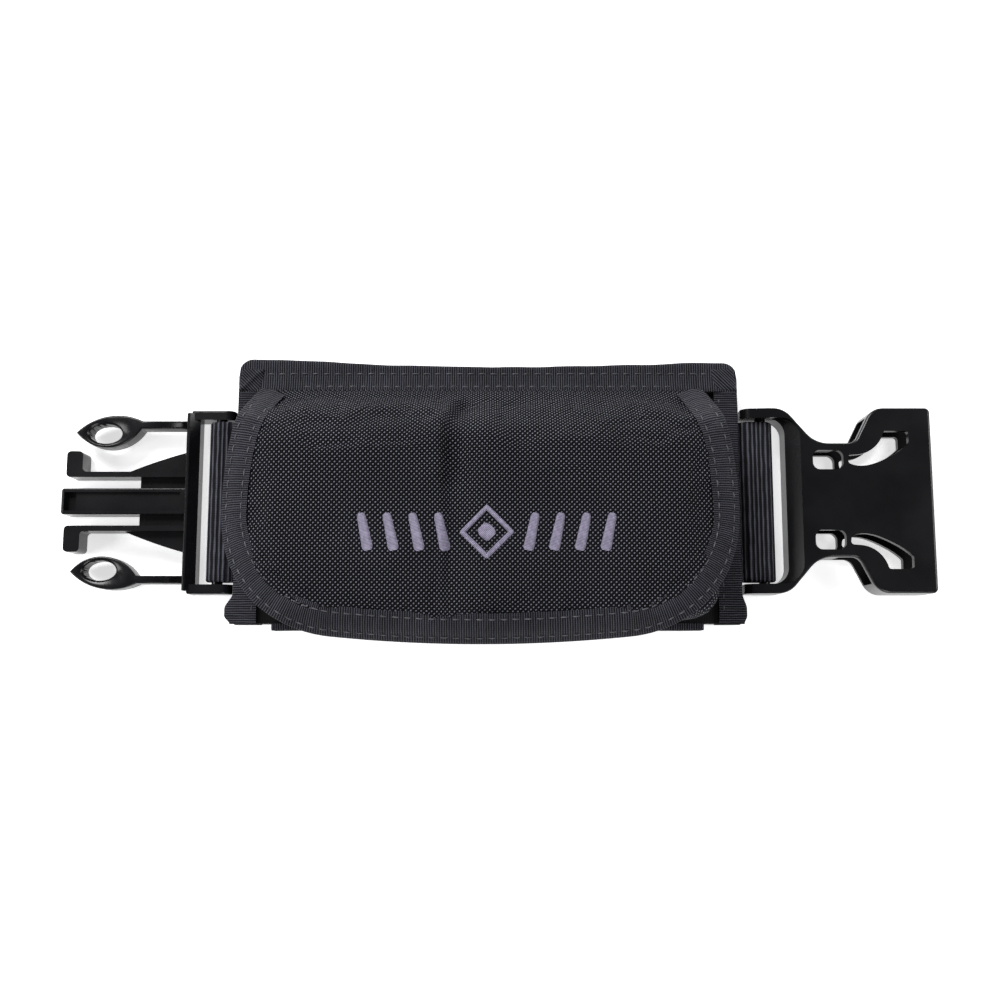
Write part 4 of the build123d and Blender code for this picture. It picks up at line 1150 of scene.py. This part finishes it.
class BELT_OT_pouch(bpy.types.Operator):
    """The stuffed pouch in front of the webbing, swollen as cloth, open at its mouth"""

    bl_idname = "belt.pouch"
    bl_label = "Pouch"

    def execute(self, context):
        inner = SIDE_TAPE[0].x - 0.2
        low, high = FRONT
        mouth = node_box("weight_left")[1].y + 0.5
        margin = 0.9
        size = Vector((2 * inner - 2 * margin, mouth + 24 - low.y - margin, high.z - margin - REAR[1].z + 12))
        centre = Vector((0, low.y + margin + size.y / 2, high.z - margin - size.z / 2))
        clear_selection()
        bpy.ops.mesh.primitive_cube_add(size=1, location=centre * MM, scale=size * MM)
        bpy.ops.object.transform_apply(location=True, scale=True)
        tray = context.object
        tray.name = tray.data.name = "pouch_front_fabric"
        add_modifier(tray, "BEVEL", width=8.6 * MM, segments=5)
        add_modifier(tray, "REMESH", mode="VOXEL", voxel_size=2.2 * MM)
        relax(tray, pressure=3.0, cap=1.1)
        only(tray)
        bpy.ops.object.mode_set(mode="EDIT")
        for point, normal in (((0, 0, REAR[1].z + 0.1), (0, 0, -1)), ((0, mouth, 0), (0, 1, 0))):
            bpy.ops.mesh.select_all(action="SELECT")
            bpy.ops.mesh.bisect(plane_co=Vector(point) * MM, plane_no=normal, clear_outer=True)
        bpy.ops.object.mode_set(mode="OBJECT")
        layer = tray.data.uv_layers.active or tray.data.uv_layers.new(name="UVMap")
        for polygon in tray.data.polygons:
            n = polygon.normal
            steep_x, steep_y = abs(n.x) > 0.75, abs(n.y) > 0.75
            for loop in polygon.loop_indices:
                co = tray.data.vertices[tray.data.loops[loop].vertex_index].co
                layer.data[loop].uv = (co.y, co.z) if steep_x else (co.x, co.z) if steep_y else (co.x, co.y)
        add_modifier(tray, "SOLIDIFY", thickness=0.9 * MM, offset=-1)
        smooth(tray, 60)
        finish(tray, "pocket", coated_basket_weave_nylon(), "pocket_fabric", "pouch_front", "flap_hem")
        return {"FINISHED"}


class BELT_OT_flap(bpy.types.Operator):
    """The flap's outer fabric and lining"""

    bl_idname = "belt.flap"
    bl_label = "Flap"

    def execute(self, context):
        def dressed(x, y):
            return crown(x, y) + soft_dents(x, y)

        panel = flap_lattice("flap_fabric", 150, 84, 1.6, -0.05, dressed)
        reach = settings().tape_width * 0.75
        held = [v.index for v in panel.data.vertices if not inside_flap(v.co.x / MM, v.co.y / MM, reach)]
        relax(panel, pressure=0.6, cap=0.9, slack=0.015, sewn=held)
        add_modifier(panel, "SOLIDIFY", thickness=1.1 * MM, offset=-1)
        smooth(panel, 60)
        finish(panel, "flap", coated_basket_weave_nylon(), "pocket_fabric", "flap_panel")

        def inner(x, y):
            return crown(x, y) + min(0.0, soft_dents(x, y))

        lining = flap_lattice("flap_lining_fabric", 90, 50, 2.2, -1.3, inner)
        add_modifier(lining, "SOLIDIFY", thickness=0.6 * MM, offset=-1)
        smooth(lining, 60)
        finish(lining, "flap", smooth_lining_nylon(), "pocket_fabric", "flap_lining")
        return {"FINISHED"}


class BELT_OT_flap_fold(bpy.types.Operator):
    """The strip of fabric the flap bends at, from inside the band to the flap's shoulder"""

    bl_idname = "belt.flap_fold"
    bl_label = "Flap fold"

    def execute(self, context):
        half = FLAP_HALF - FLAP_TOP_INSET - 1.0
        slope = (FLAP_TOP_Z - FLAP_THICK / 2 - HINGE.z) / SHOULDER_RUN
        band_y, band_z = BAND[0].y, BAND[1].z
        knots = [
            Vector((0, band_y + 3.0, band_z - 1.2)),
            Vector((0, band_y + 0.3, band_z - 0.6)),
            Vector((0, HINGE.y + 0.2, HINGE.z - 0.5)),
            Vector((0, HINGE.y - 0.8, HINGE.z + 0.8 * slope)),
            Vector((0, HINGE.y - 2.2, HINGE.z + 2.2 * slope)),
        ]

        def along(share):
            """A point on the smooth curve through the knots."""
            place = share * (len(knots) - 1)
            index = min(int(place), len(knots) - 2)
            t = place - index
            a, b = knots[max(index - 1, 0)], knots[index]
            c, d = knots[index + 1], knots[min(index + 2, len(knots) - 1)]
            square, cube = 2 * a - 5 * b + 4 * c - d, 3 * b - a - 3 * c + d
            return 0.5 * (2 * b + (c - a) * t + square * t**2 + cube * t**3)

        def path(s):
            here = along(s)
            heading = (along(min(1.0, s + 0.02)) - along(max(0.0, s - 0.02))).normalized()
            across = Vector((1, 0, 0))
            return Vector((FLAP_MID_X, here.y, here.z)), across, heading.cross(across), 6 * s

        def section(s):
            count = 60
            upper = [(-half + 2 * half * n / count, 0.6) for n in range(count + 1)]
            return upper + [(a, -0.6) for a, _ in reversed(upper)]

        fold = shell("flap_fold_strip", 20, 122, path, section)
        smooth(fold, 60)
        fold.data.materials.append(coated_basket_weave_nylon())
        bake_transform(fold)
        return {"FINISHED"}


class BELT_OT_flap_binding(bpy.types.Operator):
    """The tape folded over the flap's free edge"""

    bl_idname = "belt.flap_binding"
    bl_label = "Flap binding"

    def execute(self, context):
        width = settings().tape_width
        start, stop = -1.2, EDGE_LENGTH + 1.2
        columns = 420

        def place(s, t):
            length = start + (stop - start) * s
            wave = 0.25 * noise.noise(Vector((length * 0.08, 6, 1)))
            lip = width + wave
            pull = 0.05 * cos(2 * pi * length / settings().stitch_pitch)
            top_lift, low_lift = TAPE_THICK, -FLAP_THICK - TAPE_THICK
            legs = 10
            total = 2 * legs + 6 + 6
            index = round(t * total) % total
            if index <= legs:
                share = index / legs
                inset = lip * (1 - share)
                rows = (lip - FLAP_SEAM_INSET, FLAP_SEAM_INSET)
                seams = sum(exp(-((inset - row) / 0.7) ** 2) for row in rows)
                fat = 0.22 * sin(pi * min(1.0, max(0.0, (inset - 1.2) / (lip - 2.4))))
                lift = top_lift + fat - (0.2 - pull) * seams
                if index == 0:
                    lift -= 0.12
                point = self.on_skin(length, max(inset, 0.02), lift)
                v = index / legs * lip
            elif index <= legs + 5:
                angle = pi / 2 - pi * (index - legs) / 6
                middle = (top_lift + low_lift) / 2
                radius = (top_lift - low_lift) / 2
                base = self.on_skin(length, 0.02, middle + radius * sin(angle))
                inward = self.on_skin(length, 1.0, middle)
                out = (self.on_skin(length, 0.02, middle) - inward).normalized()
                point = base + out * TAPE_THICK * cos(angle)
                v = lip + (index - legs) * 0.6
            elif index <= 2 * legs + 6:
                share = (index - legs - 6) / legs
                point = self.on_skin(length, max(0.02, lip * share * 0.97), low_lift)
                v = lip + 4 + share * lip
            else:
                if index >= 2 * legs + 9:
                    share = (index - 2 * legs - 9) / 3
                    point = self.on_skin(length, 0.3 + (lip * 0.97 - 0.3) * share, 0.08)
                else:
                    share = (index - 2 * legs - 6) / 3
                    point = self.on_skin(length, lip * 0.97 * (1 - share) + 0.3 * share, -FLAP_THICK - 0.08)
                v = 0.0
            return point, (length, v)

        tape = close_ends(lattice("flap_edge_tape", columns, 32, place))
        smooth(tape, 60)
        finish(tape, "flap", ribbed_binding_tape(), "binding_tape", "flap_binding")
        return {"FINISHED"}

    def on_skin(self, length, inset, lift):
        return skin(*flap_edge(length, inset), lift)[0]


class BELT_OT_stitches(bpy.types.Operator):
    """Every row of sewing thread"""

    bl_idname = "belt.stitches"
    bl_label = "Stitches"

    def execute(self, context):
        pitch = settings().stitch_pitch
        width = settings().tape_width
        rows = []
        trim = 5.5
        for inset in (width - FLAP_SEAM_INSET, FLAP_SEAM_INSET):
            run = EDGE_LENGTH - 2 * trim
            count = round(run / pitch)
            for number in range(count):
                length = trim + run * (number + 0.5) / count
                waver = 0.12 * noise.noise(Vector((number * 0.37, inset, 0)))
                lift = TAPE_THICK + 0.02
                point, normal = skin(*flap_edge(length, inset + waver), lift)
                along = skin(*flap_edge(length + 1.0, inset + waver), lift)[0] - point
                rows.append((point, along.normalized(), normal))
        self.sew("flap_thread", "flap", rows, "flap_stitching")

        up = Vector((0, 0, 1))
        rows = []
        front = BAND[1].z - 0.12
        half = HALF - 4.5
        under_tape = 15.0
        for y, rise, short in ((BAND[0].y + SEAM_INSET, 0.6, under_tape), (BAND[1].y - 2.6, 0.0, 0.0)):
            end = half - short
            rows += straight_row(Vector((-end, y, front + rise)), Vector((end, y, front + rise)), up)
        tape_front = SIDE_TAPE[1].z - 0.12
        for side in (-1, 1):
            x = side * (SIDE_TAPE[0].x + SEAM_INSET)
            rows += straight_row(
                Vector((x, SIDE_TAPE[0].y + 3, tape_front)), Vector((x, SIDE_TAPE[1].y - 1, tape_front)), up)
        self.sew("tape_thread", "pocket", rows, "tape_stitching")

        down = Vector((0, 0, -1))
        rows = []
        back = 0.3
        for side in (-1, 1):
            x = side * (SIDE_TAPE[0].x + SEAM_INSET)
            rows += straight_row(Vector((x, PANEL[0].y + 3, back)), Vector((x, BAND[0].y - 1, back)), down)
        y = BAND[0].y + SEAM_INSET
        rows += straight_row(Vector((-half, y, back)), Vector((half, y, back)), down)
        high = node_box("box_stitching")[1]
        inner = high.x - 24.7
        tall = high.y - 0.35
        for side in (-1, 1):
            a, b = side * inner, side * (high.x - 0.35)
            corners = [Vector((a, -tall, back)), Vector((b, -tall, back)), Vector((b, tall, back)),
                       Vector((a, tall, back))]
            for start, end in zip(corners, corners[1:] + corners[:1]):
                rows += straight_row(start, end, down)
            rows += straight_row(corners[0], corners[2], down)
            rows += straight_row(corners[1], corners[3], down)
        self.sew("box_thread", "pocket", rows, "box_stitching")
        return {"FINISHED"}

    def sew(self, name, body, rows, node):
        finish(stitching(name, rows), body, bonded_nylon_thread(), "thread", node)


class BELT_OT_emblem(bpy.types.Operator):
    """A generic satin-stitch device: a diamond between two rows of slanted bars"""

    bl_idname = "belt.emblem"
    bl_label = "Emblem"

    def execute(self, context):
        bpy.context.view_layer.update()
        panel = bpy.data.objects["flap_fabric"]
        middle = Vector((0, (node_box("flap_emblem")[0].y + node_box("flap_emblem")[1].y) / 2))

        def on_panel(x, y, lift):
            hit, point, normal, _ = panel.ray_cast(Vector((x, y, 60)) * MM, Vector((0, 0, -1)))
            if not hit:
                raise RuntimeError("the emblem lies off the flap")
            return point / MM + normal * lift

        def patch(name, centre, angle, length, width, taper):
            """One satin bar: rounded ends, a crowned middle and threads laid across it."""
            turn = Matrix.Rotation(angle, 2)

            def place(s, t):
                a = (t - 0.5) * length
                b = (s - 0.5) * 2
                end = max(0.0, abs(a) - length / 2 + width * 0.4) / (width * 0.4)
                half = width / 2 * (1 - taper * (t - 0.5)) * sqrt(max(0.0, 1 - 0.6 * end**2))
                ragged = 1 + 0.05 * noise.noise(Vector((a * 3.1, s * 9, centre.x)))
                x, y = turn @ Vector((b * half * ragged, a))
                edge = max(abs(b), end * 0.8)
                lift = -0.12 + 0.62 * sqrt(max(0.0, 1 - edge**4))
                return on_panel(centre.x + x, centre.y + y, lift), (b * half, a)

            return lattice(name, 8, 26, place)

        patches = []
        slant = radians(12)
        for side in (-1, 1):
            for number in range(4):
                centre = middle + Vector((side * (13 + number * 7.4), 0))
                patches.append(patch("bar", centre, -side * slant, 11.0, 3.0, 0.25))
        reach = 8.0 - 0.9
        for quarter in range(4):
            angle = quarter * pi / 2 + pi / 4
            centre = middle + Vector((cos(angle), sin(angle))) * reach / sqrt(2)
            patches.append(patch("side", centre, angle, reach * sqrt(2) + 1.0, 1.5, 0.0))
        patches.append(patch("heart", middle, pi / 4, 4.6, 4.6, 0.0))
        emblem = join("flap_device", patches)
        add_modifier(emblem, "SOLIDIFY", thickness=0.2 * MM, offset=-1)
        smooth(emblem, 70)
        finish(emblem, "flap", satin_stitch_thread(), "emblem_thread", "flap_emblem")
        return {"FINISHED"}


class BELT_OT_fasteners(bpy.types.Operator):
    """Hook and loop strips"""

    bl_idname = "belt.fasteners"
    bl_label = "Touch fasteners"

    def execute(self, context):
        for name, box, body, material, node in (
            ("loop_pile_strip", LOOP_STRIP, "pocket", brushed_loop_pile(), "loop_strip"),
            ("hook_tape_strip", HOOK_STRIP, "flap", woven_hook_tape(), "hook_strip"),
        ):
            low, high = box
            clear_selection()
            bpy.ops.mesh.primitive_grid_add(x_subdivisions=160, y_subdivisions=40, size=1)
            strip = context.object
            strip.name = strip.data.name = name
            facing = 1 if body == "pocket" else -1
            for vertex in strip.data.vertices:
                s, t = vertex.co.x + 0.5, vertex.co.y + 0.5
                x, y = low.x + (high.x - low.x) * s, low.y + (high.y - low.y) * t
                field = min(s, 1 - s, t, 1 - t) > 0.02
                tuft = 0.22 * noise.noise(Vector((x * 1.3, y * 1.3, 0))) if field else 0.0
                sunk = 0.2 if field else 0.45
                z = (high.z if facing > 0 else low.z) - facing * sunk + tuft * 0.5
                vertex.co = Vector((x, y, z)) * MM
            add_modifier(strip, "SOLIDIFY", thickness=0.4 * MM, offset=-facing)
            smooth(strip, 60)
            finish(strip, body, material, "hook_and_loop", node)
        return {"FINISHED"}


class BELT_OT_weights(bpy.types.Operator):
    """Cast finish for the two lead weights"""

    bl_idname = "belt.weights"
    bl_label = "Weights"

    def execute(self, context):
        for name in ("weight_left", "weight_right"):
            refinish(frame["nodes"][name], oxidised_cast_lead())
        return {"FINISHED"}


STEPS = (
    BELT_OT_stage,
    BELT_OT_buckle,
    BELT_OT_webbing,
    BELT_OT_back,
    BELT_OT_side_tapes,
    BELT_OT_top_band,
    BELT_OT_bottom_tape,
    BELT_OT_pouch,
    BELT_OT_flap,
    BELT_OT_flap_fold,
    BELT_OT_flap_binding,
    BELT_OT_stitches,
    BELT_OT_emblem,
    BELT_OT_fasteners,
    BELT_OT_weights,
)


class BELT_PT_panel(bpy.types.Panel):
    """Lists the belt's builders and its sizes"""

    bl_idname = "BELT_PT_panel"
    bl_label = "Weight Belt"
    bl_space_type = "VIEW_3D"
    bl_region_type = "UI"
    bl_category = "Weight Belt"

    def draw(self, context):
        for name in BeltSettings.__annotations__:
            self.layout.prop(context.scene.belt_settings, name)
        for step in STEPS:
            self.layout.operator(step.bl_idname)


CLASSES = (BeltSettings, *STEPS, BELT_PT_panel)


def register():
    for cls in CLASSES:
        bpy.utils.register_class(cls)
    bpy.types.Scene.belt_settings = PointerProperty(type=BeltSettings)


def unregister():
    del bpy.types.Scene.belt_settings
    for cls in reversed(CLASSES):
        bpy.utils.unregister_class(cls)


def main():
    register()
    for step in STEPS:
        group, name = step.bl_idname.split(".")
        getattr(getattr(bpy.ops, group), name)()


if __name__ == "__main__":
    main()
